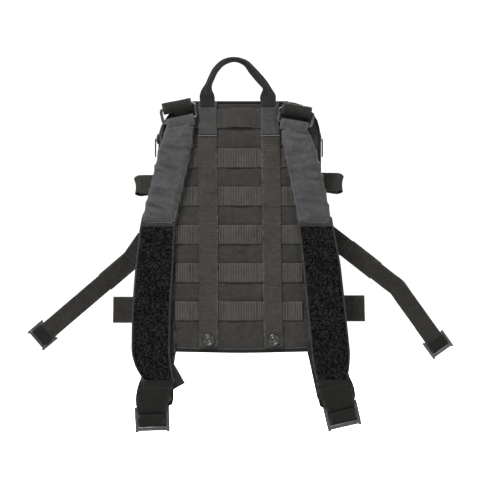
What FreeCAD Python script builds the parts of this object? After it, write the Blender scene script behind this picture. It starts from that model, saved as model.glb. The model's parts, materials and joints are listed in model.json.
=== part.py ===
import FreeCAD, Part
import math
import os
import Sketcher

# Compact trauma backpack, harness side towards -Y, pack compartment towards +Y.
# Origin: centre of the bottom edge of the back panel, on its outer face. +Z up.
# Every flat piece is drawn in the X-Z plane and has a stand-off: the distance
# from the back panel's outer face to the piece's rear face, towards the wearer.

DIMS = {
    # pack shell
    "panel_width": 220.0,
    "panel_height": 335.0,
    "corner_radius": 18.0,
    "top_corner_radius": 46.0,
    "panel_thickness": 5.0,
    "pack_depth": 110.0,
    "wall": 2.5,
    "frame_sheet_thickness": 1.5,
    "seam_depth": 60.0,
    "tape_width": 3.2,
    "tape_gap": 0.4,
    "tape_proud": 1.4,
    "front_thickness": 4.0,
    "binding_width": 3.0,
    "binding_proud": 1.2,
    "binding_start": 1.0,
    # webbing grid: 25.4 mm webbing at a 50.8 mm pitch
    "webbing": 25.4,
    "pitch": 50.8,
    "webbing_thickness": 1.6,
    "lowest_row": 55.0,
    "back_row_width": 170.0,
    "front_row_width": 150.0,
    "clearance": 0.4,
    # attachment straps over the grid, and their snaps
    "strap_thickness": 1.4,
    "attachment_top": 288.2,
    "attachment_length": 282.0,
    "attachment_offset": 41.5,
    "left_attachment_tilt": -0.3,
    "right_attachment_tilt": -1.0,
    "snap_height": 17.0,
    "snap_radius": 8.0,
    "snap_thickness": 2.6,
    "snap_rounding": 1.56,
    "stud_radius": 5.0,
    "stud_thickness": 1.7,
    # carry handle
    "patch_width": 25.0,
    "patch_height": 44.0,
    "patch_thickness": 1.8,
    "handle_band": 10.0,
    "handle_thickness": 5.0,
    "handle_depth": 2.5,
    # shoulder strap rings and the rolls that hold them
    "hang_depth": 8.0,
    "ring_width": 49.0,
    "ring_height": 22.4,
    "ring_bar": 4.0,
    "ring_corner": 3.6,
    "ring_inner_corner": 1.0,
    "roll_radius": 6.2,
    "roll_bore": 3.1,
    "roll_tail_height": 2.5,
    "roll_tail_rise": 1.6,
    "pad_fold_radius": 4.6,
    "pad_head_drop": 3.2,
    "roll_length": 39.0,
    "left_ring_x": -79.5,
    "left_ring_z": 316.5,
    "left_ring_tilt": -12.0,
    "right_ring_x": 75.0,
    "right_ring_z": 311.6,
    "right_ring_tilt": 10.0,
    # shoulder straps: stations from the ring down, shared heights and half widths
    "pad_thickness": 9.0,
    "loop_thickness": 5.0,
    "end_thickness": 3.0,
    "sleeve_gap": 0.3,
    "moulded_corner": 2.0,
    "pad_top_half": 19.5,
    "station_z_1": 273.0,
    "station_z_2": 237.0,
    "station_z_3": 168.0,
    "station_z_4": 118.0,
    "station_z_5": 60.0,
    "station_z_6": 0.0,
    "station_z_7": -20.0,
    "station_z_8": -36.0,
    "half_1": 22.2,
    "half_2": 22.8,
    "half_3": 23.2,
    "half_4": 25.0,
    "half_5": 25.6,
    "half_6": 25.6,
    "half_7": 24.0,
    "half_8": 20.0,
    "left_centre_1": -83.3,
    "left_centre_2": -91.2,
    "left_centre_3": -107.4,
    "left_centre_4": -111.5,
    "left_centre_5": -115.5,
    "left_centre_6": -116.7,
    "left_centre_7": -112.5,
    "left_centre_8": -106.0,
    "right_centre_1": 79.5,
    "right_centre_2": 87.7,
    "right_centre_3": 101.8,
    "right_centre_4": 109.4,
    "right_centre_5": 115.3,
    "right_centre_6": 121.6,
    "right_centre_7": 122.4,
    "right_centre_8": 123.0,
    # ladder locks for 38 mm webbing
    "lock_width": 46.0,
    "lock_height": 31.0,
    "lock_thickness": 5.0,
    "lock_rail": 4.0,
    "lock_top_bar": 4.0,
    "lock_mid_bar": 6.0,
    "lock_mid_drop": 16.5,
    "lock_low_bar": 5.0,
    "lock_bore": 3.5,
    "lock_sleeve": 5.0,
    "lock_sleeve_length": 37.4,
    "tail_width": 36.0,
    "tail_height": 14.6,
    "tail_depth": 8.6,
    "left_lock_x": -114.3,
    "left_lock_z": -87.3,
    "left_lock_tilt": -2.0,
    "right_lock_x": 136.5,
    "right_lock_z": -82.3,
    "right_lock_tilt": -13.0,
    # adjusting webbing from the pack's lower corners
    "adjuster_width": 36.0,
    "adjuster_length": 57.0,
    "adjuster_gap": 4.6,
    "corner_height": 40.0,
    "left_adjuster_x": -102.0,
    "left_adjuster_tilt": 8.0,
    "right_adjuster_x": 110.0,
    "right_adjuster_tilt": -12.0,
    # side straps, in a plane half way along the pack's side
    "side_depth": 50.0,
    "root_thickness": 3.0,
    "root_gap": 1.2,
    "side_thickness": 1.6,
    "left_seam_x": -151.6,
    "left_seam_z": 119.6,
    "left_side_tilt": 49.5,
    "left_first_length": 78.0,
    "left_second_tilt": 49.5,
    "left_second_length": 68.0,
    "left_root_high": 187.0,
    "left_root_low": 149.0,
    "right_seam_x": 154.7,
    "right_seam_z": 133.7,
    "right_side_tilt": -51.9,
    "right_first_length": 81.0,
    "right_second_tilt": -35.5,
    "right_second_length": 86.0,
    "right_root_high": 180.0,
    "right_root_low": 147.0,
    # ladder locks for 25 mm webbing
    "small_lock_width": 34.0,
    "small_lock_height": 24.0,
    "small_lock_thickness": 4.0,
    "small_lock_rail": 4.0,
    "small_lock_top_bar": 3.2,
    "small_lock_mid_bar": 4.6,
    "small_lock_mid_drop": 11.2,
    "small_lock_low_bar": 4.6,
    "small_lock_bore": 2.8,
    "small_lock_sleeve": 4.0,
    "small_lock_sleeve_length": 25.0,
    # loops and tabs on the pack's sides
    "loop_reach": 32.0,
    "loop_gap": 6.0,
    "loop_corner": 4.44,
    "loop_inner_corner": 2.7,
    "left_loop_z": 226.0,
    "right_loop_z": 229.0,
    "tab_reach": 64.0,
    "tab_height": 36.0,
    "left_tab_z": 53.0,
    "right_tab_z": 55.0,
    # zipper sliders and pulls
    "slider_height": 14.0,
    "slider_corner": 3.0,
    "slider_width": 10.0,
    "slider_thickness": 3.0,
    "slider_z": 290.0,
    "pull_width": 6.0,
    "pull_length": 26.0,
    "pull_thickness": 2.0,
    "pull_corner": 0.7,
    # inside the compartment and on the front
    "organiser_width": 186.0,
    "organiser_height": 290.0,
    "organiser_thickness": 3.0,
    "elastic_height": 38.0,
    "elastic_middle": 207.7,
    "elastic_rise": 9.0,
    "elastic_wall": 1.5,
    "elastic_pitch": 44.0,
    "pocket_width": 186.0,
    "pocket_height": 150.0,
    "pocket_margin": 12.0,
    "pocket_thickness": 1.2,
    "front_loop_width": 130.0,
    "front_loop_height": 76.0,
    "front_loop_z": 262.0,
}

# The carry handle's centre line, foot to foot, as X and Z stations.
HANDLE_STATIONS = (
    (-41.0, 338.6),
    (-43.0, 346.0),
    (-38.5, 358.0),
    (-31.5, 373.0),
    (-20.0, 384.5),
    (-6.0, 389.0),
    (9.0, 384.0),
    (19.0, 373.5),
    (28.5, 361.0),
    (38.0, 348.0),
    (39.5, 338.6),
)

BACK_ROWS = 6
FRONT_ROWS = 3
PAD_STATIONS = (1, 2, 3)
LOOP_STATIONS = (3, 4, 5, 6, 7, 8)
SIDES = {"left": -1, "right": 1}
PANEL_MIDDLE = "Dims.panel_height / 2"
ATTACHMENT_STAND_OFF = "Dims.webbing_thickness + Dims.clearance"

doc = FreeCAD.newDocument("TraumaBackpack")
sheet = doc.addObject("Spreadsheet::Sheet", "Dims")
parts = []


def fill_sheet():
    """Write every driving dimension into the sheet, with its alias."""
    cells = dict(DIMS)
    for index, (x, z) in enumerate(HANDLE_STATIONS, 1):
        cells[f"handle_x_{index}"] = x
        cells[f"handle_z_{index}"] = z
    for row, (name, size) in enumerate(cells.items(), 1):
        sheet.set(f"A{row}", name)
        sheet.set(f"B{row}", str(size))
        sheet.setAlias(f"B{row}", name)
    doc.recompute()


def number(expression):
    """The present value of a sheet expression."""
    result = sheet.evalExpression(expression)
    return float(getattr(result, "Value", result))


def cell(side, name):
    """A cell that has one value for each side of the pack."""
    return f"Dims.{side}_{name}"


# ---------------------------------------------------------------- sketches


def new_sketch(body, name, plane="XZ_Plane", offset="0"):
    """A sketch on one of the body's own planes, moved along its normal."""
    sketch = body.newObject("Sketcher::SketchObject", name)
    support = [f for f in body.Origin.OriginFeatures if f.Role == plane][0]
    sketch.AttachmentSupport = [(support, "")]
    sketch.MapMode = "FlatFace"
    sketch.setExpression("AttachmentOffset.Base.z", offset)
    return sketch


def pin_point(sketch, geometry, vertex, x, y):
    """Hold one vertex at the distances that two expressions give."""
    for kind, expression in (("DistanceX", x), ("DistanceY", y)):
        value = number(expression)
        index = sketch.addConstraint(Sketcher.Constraint(kind, -1, 1, geometry, vertex, value))
        sketch.setExpression(f"Constraints[{index}]", expression)


def draw_polygon(sketch, corners):
    """A closed polygon with every corner bound to the sheet."""
    points = [FreeCAD.Vector(number(x), number(y), 0) for x, y in corners]
    first = sketch.GeometryCount
    count = len(points)
    for i in range(count):
        sketch.addGeometry(Part.LineSegment(points[i], points[(i + 1) % count]), False)
    for i in range(count):
        following = first + (i + 1) % count
        sketch.addConstraint(Sketcher.Constraint("Coincident", first + i, 2, following, 1))
    for i, (x, y) in enumerate(corners):
        pin_point(sketch, first + i, 1, x, y)


def draw_rectangle(sketch, width, height, x="0", y="0"):
    """A rectangle about a centre."""
    left, right = f"{x} - ({width}) / 2", f"{x} + ({width}) / 2"
    low, high = f"{y} - ({height}) / 2", f"{y} + ({height}) / 2"
    draw_polygon(sketch, [(left, low), (right, low), (right, high), (left, high)])


def draw_rounded(sketch, width, height, radius, x="0", y="0", top_radius=None):
    """A rectangle with round corners, about a centre; the two top corners may differ."""
    half_w = number(width) / 2
    half_h = number(height) / 2
    cx, cy = number(x), number(y)
    first = sketch.GeometryCount
    quarter = math.pi / 2
    upper, lower = top_radius or radius, radius
    corners = ((1, 1, upper), (-1, 1, upper), (-1, -1, lower), (1, -1, lower))
    for turn, (sx, sy, own_radius) in enumerate(corners):
        r = number(own_radius)
        centre = FreeCAD.Vector(cx + sx * (half_w - r), cy + sy * (half_h - r), 0)
        circle = Part.Circle(centre, FreeCAD.Vector(0, 0, 1), r)
        sketch.addGeometry(Part.ArcOfCircle(circle, turn * quarter, (turn + 1) * quarter), False)
    for turn in range(4):
        start = sketch.getPoint(first + turn, 2)
        end = sketch.getPoint(first + (turn + 1) % 4, 1)
        sketch.addGeometry(Part.LineSegment(start, end), False)
    for turn in range(4):
        line = first + 4 + turn
        sketch.addConstraint(Sketcher.Constraint("Tangent", first + turn, 2, line, 1))
        sketch.addConstraint(Sketcher.Constraint("Tangent", line, 2, first + (turn + 1) % 4, 1))
    for turn in (0, 2):
        sx, sy, own_radius = corners[turn]
        value = Sketcher.Constraint("Radius", first + turn, number(own_radius))
        sketch.setExpression(f"Constraints[{sketch.addConstraint(value)}]", own_radius)
        sketch.addConstraint(Sketcher.Constraint("Equal", first + turn, first + turn + 1))
        pin_point(
            sketch,
            first + turn,
            3,
            f"{x} + {sx} * (({width}) / 2 - ({own_radius}))",
            f"{y} + {sy} * (({height}) / 2 - ({own_radius}))",
        )
    for turn in (0, 2):
        sketch.addConstraint(Sketcher.Constraint("Horizontal", first + 4 + turn))
    for turn in (1, 3):
        sketch.addConstraint(Sketcher.Constraint("Vertical", first + 4 + turn))


def draw_circle(sketch, radius, x="0", y="0"):
    """A circle about a centre."""
    centre = FreeCAD.Vector(number(x), number(y), 0)
    index = sketch.addGeometry(Part.Circle(centre, FreeCAD.Vector(0, 0, 1), number(radius)), False)
    constraint = sketch.addConstraint(Sketcher.Constraint("Radius", index, number(radius)))
    sketch.setExpression(f"Constraints[{constraint}]", radius)
    pin_point(sketch, index, 3, x, y)


# ---------------------------------------------------------------- solids


def new_body(label):
    body = doc.addObject("PartDesign::Body", label)
    body.Label = label
    return body


def pad(body, sketch, length, midplane=False):
    """Thicken a sketch by a length, one way or evenly about its plane."""
    feature = body.newObject("PartDesign::Pad", f"{body.Name}_pad")
    feature.Profile = sketch
    feature.setExpression("Length", length)
    if midplane:
        feature.SideType = "Symmetric"
    sketch.Visibility = False
    return feature


def place(piece, x="0", y="0", z="0", tilt="0"):
    """Set a piece in place; tilt leans its top towards +X."""
    moved = f"create(<<vector>>; {x}; {y}; {z})"
    turned = f"create(<<rotation>>; create(<<vector>>; 0; 1; 0); {tilt})"
    piece.setExpression("Placement", f"create(<<placement>>; {moved}; {turned})")


def keep(piece):
    """Count a piece as one that is written out."""
    parts.append(piece)
    return piece


def flat_polygon(label, corners, stand_off, thickness):
    """A flat piece with a polygon outline in the pack's own frame."""
    body = new_body(label)
    sketch = new_sketch(body, f"{label}_outline", offset=stand_off)
    draw_polygon(sketch, corners)
    pad(body, sketch, thickness)
    return body


def flat_strip(label, width, height, stand_off, thickness, x="0", z="0", tilt="0", drop="0"):
    """A rectangle of webbing; drop is how far its middle hangs below its place."""
    body = new_body(label)
    sketch = new_sketch(body, f"{label}_outline", offset=stand_off)
    draw_rectangle(sketch, width, height, y=f"-({drop})")
    pad(body, sketch, thickness)
    place(body, x=x, z=z, tilt=tilt)
    return body


def flat_rounded(label, width, height, radius, stand_off, thickness, top_radius=None):
    """A flat piece with round corners, centred on the pack."""
    body = new_body(label)
    sketch = new_sketch(body, f"{label}_outline", offset=stand_off)
    draw_rounded(sketch, width, height, radius, top_radius=top_radius)
    pad(body, sketch, thickness)
    place(body, z=PANEL_MIDDLE)
    return body


def wall_ring(label, depth_start, depth, outset, wall):
    """A wall that follows the pack's outline, from one depth to another."""
    body = new_body(label)
    sketch = new_sketch(body, f"{label}_outline", offset=f"-({depth_start}) - ({depth})")
    for inset in (f"({outset})", f"({outset}) - ({wall})"):
        width = f"Dims.panel_width + 2 * ({inset})"
        height = f"Dims.panel_height + 2 * ({inset})"
        radius, top_radius = (f"Dims.{name} + ({inset})" for name in ("corner_radius", "top_corner_radius"))
        draw_rounded(sketch, width, height, radius, top_radius=top_radius)
    pad(body, sketch, depth)
    place(body, z=PANEL_MIDDLE)
    return body


def sleeve(label, outer, bore, length, x, y, z, tilt):
    """Webbing folded round a bar: a tube along the bar."""
    body = new_body(label)
    sketch = new_sketch(body, f"{label}_section", plane="YZ_Plane")
    draw_circle(sketch, outer)
    draw_circle(sketch, bore)
    pad(body, sketch, length, midplane=True)
    place(body, x=x, y=y, z=z, tilt=tilt)
    return body


def fuse(label, pieces):
    """Pieces of one sewn or folded length, joined into one solid."""
    joined = doc.addObject("Part::MultiFuse", label)
    joined.Label = label
    joined.Shapes = pieces
    joined.Refine = True
    return joined


def along(side_tilt, distance, start_x, start_z):
    """The point at a distance down a leaning local Z axis."""
    x = f"({start_x}) - ({distance}) * sin({side_tilt})"
    z = f"({start_z}) - ({distance}) * cos({side_tilt})"
    return x, z


def across(tilt, offset, rise, x, z):
    """A point given in a leaning frame: offset along X, rise along Z."""
    return (
        f"({x}) + ({offset}) * cos({tilt}) + ({rise}) * sin({tilt})",
        f"({z}) - ({offset}) * sin({tilt}) + ({rise}) * cos({tilt})",
    )


# ---------------------------------------------------------------- pack shell


def make_shell():
    """The back panel and the two gussets that make the compartment's walls."""
    width, height = "Dims.panel_width", "Dims.panel_height"
    radius, top_radius = "Dims.corner_radius", "Dims.top_corner_radius"
    thick = "Dims.panel_thickness"
    keep(flat_rounded("back_panel", width, height, radius, f"-{thick}", thick, top_radius))
    inset = "(Dims.wall + Dims.clearance)"
    slack = f"2 * {inset}"
    sheet_depth = "Dims.frame_sheet_thickness"
    keep(
        flat_rounded(
            "frame_sheet",
            f"{width} - {slack}",
            f"{height} - {slack}",
            f"{radius} - {inset}",
            f"-{thick} - {sheet_depth}",
            sheet_depth,
            f"{top_radius} - {inset}",
        )
    )
    keep(wall_ring("rear_gusset", thick, "Dims.seam_depth - Dims.panel_thickness", "0", "Dims.wall"))
    tape_wall = "Dims.wall + Dims.tape_proud"
    lid_tape = "Dims.seam_depth + Dims.tape_width + Dims.tape_gap"
    keep(wall_ring("rear_zipper_tape", "Dims.seam_depth", "Dims.tape_width", "Dims.tape_proud", tape_wall))
    keep(wall_ring("front_zipper_tape", lid_tape, "Dims.tape_width", "Dims.tape_proud", tape_wall))
    lid_wall = f"{lid_tape} + Dims.tape_width"
    lid_depth = f"Dims.pack_depth - Dims.front_thickness - ({lid_wall})"
    keep(wall_ring("front_gusset", lid_wall, lid_depth, "0", "Dims.wall"))
    front = "Dims.front_thickness"
    keep(flat_rounded("front_panel", width, height, radius, "-Dims.pack_depth", front, top_radius))
    binding, proud = "Dims.binding_width", "Dims.binding_proud"
    keep(wall_ring("back_edge_binding", "Dims.binding_start", binding, proud, proud))
    front_edge = "Dims.pack_depth - Dims.binding_width"
    keep(wall_ring("front_edge_binding", front_edge, binding, proud, proud))


def make_front_details():
    """Webbing rows and the loop field on the outside of the front panel."""
    thick = "Dims.webbing_thickness"
    strips = []
    for row in range(FRONT_ROWS):
        height = f"Dims.lowest_row + {row} * Dims.pitch"
        strips.append(
            flat_strip(
                f"front_row_{row + 1}",
                "Dims.front_row_width",
                "Dims.webbing",
                f"-Dims.pack_depth - {thick}",
                thick,
                z=height,
            )
        )
    rows = doc.addObject("Part::Compound", "front_pals_rows")
    rows.Label = "front_pals_rows"
    rows.Links = strips
    keep(rows)
    keep(
        flat_strip(
            "front_loop_field",
            "Dims.front_loop_width",
            "Dims.front_loop_height",
            f"-Dims.pack_depth - {thick}",
            thick,
            z="Dims.front_loop_z",
        )
    )


def make_inside():
    """The organiser board with its elastic loops, and the lid's mesh pocket."""
    board_depth = "Dims.panel_thickness + Dims.frame_sheet_thickness + Dims.organiser_thickness"
    keep(
        flat_rounded(
            "organiser_panel",
            "Dims.organiser_width",
            "Dims.organiser_height",
            "Dims.corner_radius",
            f"-({board_depth})",
            "Dims.organiser_thickness",
        )
    )
    body = new_body("elastic_loops")
    sketch = new_sketch(body, "elastic_loops_section", plane="XY_Plane")
    wall, rise = "Dims.elastic_wall", "Dims.elastic_rise"
    half = "Dims.elastic_pitch * 2"
    low = board_depth
    high = f"{board_depth} + {rise}"
    corners = [(f"-{half}", low), (f"-{half}", high), (half, high), (half, low)]
    draw_polygon(sketch, corners)
    for bay in range(4):
        left = f"-{half} + {bay} * Dims.elastic_pitch + {wall} / 2"
        right = f"-{half} + {bay + 1} * Dims.elastic_pitch - {wall} / 2"
        floor, roof = f"{low} + {wall} / 2", f"{high} - {wall}"
        draw_polygon(sketch, [(left, floor), (left, roof), (right, roof), (right, floor)])
    pad(body, sketch, "Dims.elastic_height", midplane=True)
    place(body, z="Dims.elastic_middle")
    keep(body)
    keep(
        flat_strip(
            "lid_mesh_pocket",
            "Dims.pocket_width",
            "Dims.pocket_height",
            "-Dims.pack_depth + Dims.front_thickness",
            "Dims.pocket_thickness",
            z="Dims.wall + Dims.pocket_margin + Dims.pocket_height / 2",
        )
    )


# ---------------------------------------------------------------- back of the pack


def make_back_rows():
    """Rows of webbing across the back panel, numbered from the top."""
    for row in range(BACK_ROWS):
        height = f"Dims.lowest_row + {BACK_ROWS - 1 - row} * Dims.pitch"
        label = f"back_pals_row_{row + 1}"
        thick = "Dims.webbing_thickness"
        keep(flat_strip(label, "Dims.back_row_width", "Dims.webbing", "0", thick, z=height))


def make_attachment(side, sign):
    """One long strap that weaves the pack to a carrier, with its snap cap."""
    x, tilt = f"{sign} * Dims.attachment_offset", cell(side, "attachment_tilt")
    top = "Dims.attachment_top"
    keep(
        flat_strip(
            f"{side}_attachment_strap",
            "Dims.webbing",
            "Dims.attachment_length",
            ATTACHMENT_STAND_OFF,
            "Dims.strap_thickness",
            x=x,
            z=top,
            tilt=tilt,
            drop="Dims.attachment_length / 2",
        )
    )
    cap = new_body(f"{side}_snap_cap")
    sketch = new_sketch(cap, f"{side}_cap_outline", offset=f"{ATTACHMENT_STAND_OFF} + Dims.strap_thickness")
    draw_circle(sketch, "Dims.snap_radius")
    disc = pad(cap, sketch, "Dims.snap_thickness")
    doc.recompute()
    rounding = cap.newObject("PartDesign::Fillet", f"{side}_cap_rounding")
    rounding.Base = (disc, [front_edge_name(disc)])
    rounding.setExpression("Radius", "Dims.snap_rounding")
    cap.Tip = rounding
    cap_x, cap_z = along(tilt, f"{top} - Dims.snap_height", x, top)
    place(cap, x=cap_x, z=cap_z)
    keep(cap)
    keep(
        flat_strip(
            f"{side}_handle_anchor",
            "Dims.patch_width",
            "Dims.patch_height",
            "Dims.webbing_thickness",
            "Dims.patch_thickness",
            x=x,
            z=f"{top} + Dims.clearance * 2 + Dims.patch_height / 2",
        )
    )
    return cap_x, cap_z


def front_edge_name(disc):
    """The edge of a disc's face nearest the wearer."""
    edges = disc.Shape.Edges
    lowest = min(range(len(edges)), key=lambda i: edges[i].BoundBox.YMax)
    return f"Edge{lowest + 1}"


def make_studs(centres):
    """The two snap studs, set in the back panel behind the caps."""
    studs = []
    for index, (x, z) in enumerate(centres):
        body = new_body(f"snap_stud_{index + 1}")
        sketch = new_sketch(body, f"snap_stud_{index + 1}_outline")
        draw_circle(sketch, "Dims.stud_radius")
        pad(body, sketch, "Dims.stud_thickness")
        place(body, x=x, z=z)
        studs.append(body)
    group = doc.addObject("Part::Compound", "snap_studs")
    group.Label = "snap_studs"
    group.Links = studs
    keep(group)


def make_handle():
    """The carry handle: a folded webbing band swept along its arch."""
    points = []
    for index in range(1, len(HANDLE_STATIONS) + 1):
        x, z = number(f"Dims.handle_x_{index}"), number(f"Dims.handle_z_{index}")
        points.append(FreeCAD.Vector(x, 0, z))
    arch = Part.BSplineCurve()
    arch.interpolate(points)
    spine = Part.Wire([arch.toShape()])
    band, thick = number("Dims.handle_band") / 2, number("Dims.handle_thickness") / 2
    start, ahead = points[0], (points[1] - points[0]).normalize()
    sideways = FreeCAD.Vector(ahead.z, 0, -ahead.x)
    depth = FreeCAD.Vector(0, 1, 0)
    outline = [
        start + sideways * (band * a) + depth * (thick * b)
        for a, b in ((1, 1), (-1, 1), (-1, -1), (1, -1), (1, 1))
    ]
    shape = spine.makePipeShell([Part.makePolygon(outline)], True, False)
    handle = doc.addObject("Part::Feature", "carry_handle")
    handle.Label = "carry_handle"
    handle.Shape = shape
    place(handle, y="-Dims.handle_depth")
    keep(handle)


# ---------------------------------------------------------------- shoulder straps


def ring_bar_centre(side, up):
    """The centre of the ring's upper (1) or lower (-1) bar."""
    rise = f"{up} * (Dims.ring_height - Dims.ring_bar) / 2"
    return across(cell(side, "ring_tilt"), "0", rise, cell(side, "ring_x"), cell(side, "ring_z"))


def make_ring(side):
    """A rectangular ring and the webbing roll that hangs it from the top seam."""
    body = new_body(f"{side}_strap_ring")
    bar = "Dims.ring_bar"
    sketch = new_sketch(body, f"{side}_ring_outline", offset=f"Dims.hang_depth - {bar} / 2")
    draw_rounded(sketch, "Dims.ring_width", "Dims.ring_height", "Dims.ring_corner")
    opening_w, opening_h = f"Dims.ring_width - 2 * {bar}", f"Dims.ring_height - 2 * {bar}"
    draw_rounded(sketch, opening_w, opening_h, "Dims.ring_inner_corner")
    pad(body, sketch, bar)
    tilt = cell(side, "ring_tilt")
    place(body, x=cell(side, "ring_x"), z=cell(side, "ring_z"), tilt=tilt)
    keep(body)

    x, z = ring_bar_centre(side, 1)
    radius, length = "Dims.roll_radius", "Dims.roll_length"
    roll = sleeve(f"{side}_roll", radius, "Dims.roll_bore", length, x, "-Dims.hang_depth", z, tilt)
    tail = flat_strip(
        f"{side}_roll_tail",
        length,
        "Dims.roll_tail_height",
        "0",
        "Dims.hang_depth",
        x=x,
        z=z,
        tilt=tilt,
        drop="Dims.roll_tail_rise - Dims.roll_radius",
    )
    keep(fuse(f"{side}_ring_anchor", [roll, tail]))


def station(side, index, edge):
    """A corner of the shoulder strap at one station; edge is -1 or 1."""
    return f"{cell(side, f'centre_{index}')} + {edge} * Dims.half_{index}", f"Dims.station_z_{index}"


def strap_corners(side, indices, head):
    """A shoulder strap outline: down one edge of the stations and up the other."""
    down = [station(side, index, 1) for index in indices]
    back = [station(side, index, -1) for index in reversed(indices)]
    return head + down + back


def make_shoulder_strap(side):
    """Padded top, loop-faced lower part and the webbing end of one strap."""
    tilt = cell(side, "ring_tilt")
    x, z = ring_bar_centre(side, -1)
    half = "Dims.pad_top_half"
    head = [across(tilt, f"{edge} * {half}", "-Dims.pad_head_drop", x, z) for edge in (-1, 1)]
    depth = "Dims.hang_depth"
    plate = flat_polygon(
        f"{side}_pad_plate",
        strap_corners(side, PAD_STATIONS, head),
        f"{depth} - Dims.pad_thickness / 2",
        "Dims.pad_thickness",
    )
    radius = "Dims.pad_fold_radius"
    fold = sleeve(f"{side}_pad_fold", radius, "Dims.roll_bore", f"2 * {half}", x, f"-{depth}", z, tilt)
    keep(fuse(f"{side}_shoulder_pad", [plate, fold]))

    corners = strap_corners(side, LOOP_STATIONS, [])
    field = flat_polygon(
        f"{side}_loop_field", corners, f"{depth} - Dims.loop_thickness / 2", "Dims.loop_thickness"
    )
    keep(field)


def lock_bar_centre(side, prefix, x, z, tilt):
    """The centre of a ladder lock's top bar."""
    rise = f"(Dims.{prefix}lock_height - Dims.{prefix}lock_top_bar) / 2"
    return across(tilt, "0", rise, x, z)


def ladder_lock(label, prefix, x, y, z, tilt):
    """A three-bar ladder lock: a frame with two slots, and softened edges."""
    body = new_body(label)
    thick = f"Dims.{prefix}lock_thickness"
    width, height = f"Dims.{prefix}lock_width", f"Dims.{prefix}lock_height"
    sketch = new_sketch(body, f"{label}_outline", offset=f"-{thick} / 2")
    draw_rounded(sketch, width, height, "Dims.moulded_corner")
    slot = f"{width} - 2 * Dims.{prefix}lock_rail"
    top = f"{height} / 2"
    mid = f"{top} - Dims.{prefix}lock_mid_drop"
    upper_high = f"{top} - Dims.{prefix}lock_top_bar"
    upper_low = f"{mid} + Dims.{prefix}lock_mid_bar / 2"
    lower_high = f"{mid} - Dims.{prefix}lock_mid_bar / 2"
    lower_low = f"-{top} + Dims.{prefix}lock_low_bar"
    for high, low in ((upper_high, upper_low), (lower_high, lower_low)):
        draw_rectangle(sketch, slot, f"({high}) - ({low})", y=f"(({high}) + ({low})) / 2")
    pad(body, sketch, thick)
    place(body, x=x, y=y, z=z, tilt=tilt)
    return keep(body)


def make_strap_end(side):
    """The webbing below the loop field, its ladder lock and the tail in the lock."""
    depth = "Dims.hang_depth"
    x, z, tilt = (cell(side, f"lock_{name}") for name in ("x", "z", "tilt"))
    bar_x, bar_z = lock_bar_centre(side, "", x, z, tilt)
    last = LOOP_STATIONS[-1]
    lift = "Dims.lock_bore + Dims.sleeve_gap"
    foot = [across(tilt, f"{edge} * Dims.lock_sleeve_length / 2", lift, bar_x, bar_z) for edge in (1, -1)]
    corners = [
        (f"{cell(side, f'centre_{last}')} - Dims.half_{last}", f"Dims.station_z_{last} - Dims.clearance"),
        (f"{cell(side, f'centre_{last}')} + Dims.half_{last}", f"Dims.station_z_{last} - Dims.clearance"),
    ]
    band = flat_polygon(
        f"{side}_end_band", corners + foot, f"{depth} - Dims.end_thickness / 2", "Dims.end_thickness"
    )
    radius, length = "Dims.lock_sleeve", "Dims.lock_sleeve_length"
    fold = sleeve(f"{side}_end_fold", radius, "Dims.lock_bore", length, bar_x, f"-{depth}", bar_z, tilt)
    keep(fuse(f"{side}_strap_end", [band, fold]))
    ladder_lock(f"{side}_ladder_lock", "", x, f"-{depth}", z, tilt)

    tail = new_body(f"{side}_webbing_tail")
    sketch = new_sketch(tail, f"{side}_tail_section", plane="YZ_Plane")
    draw_rounded(sketch, "Dims.tail_depth", "Dims.tail_height", "Dims.moulded_corner")
    draw_rectangle(sketch, "Dims.lock_thickness", "Dims.lock_mid_bar")
    pad(tail, sketch, "Dims.tail_width", midplane=True)
    middle = "Dims.lock_height / 2 - Dims.lock_mid_drop"
    tail_x, tail_z = across(tilt, "0", middle, x, z)
    place(tail, x=tail_x, y=f"-{depth}", z=tail_z, tilt=tilt)
    keep(tail)


def make_adjuster(side):
    """The sewn corner tab and the adjusting webbing that hangs from it."""
    x = cell(side, "adjuster_x")
    width = "Dims.adjuster_width"
    keep(
        flat_strip(
            f"{side}_corner_tab",
            width,
            "Dims.corner_height",
            ATTACHMENT_STAND_OFF,
            "Dims.strap_thickness",
            x=x,
            z="Dims.corner_height / 2",
        )
    )
    keep(
        flat_strip(
            f"{side}_adjusting_webbing",
            width,
            "Dims.adjuster_length",
            ATTACHMENT_STAND_OFF,
            "Dims.strap_thickness",
            x=x,
            z="-Dims.adjuster_gap",
            tilt=cell(side, "adjuster_tilt"),
            drop="Dims.adjuster_length / 2",
        )
    )


# ---------------------------------------------------------------- sides of the pack


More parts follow.
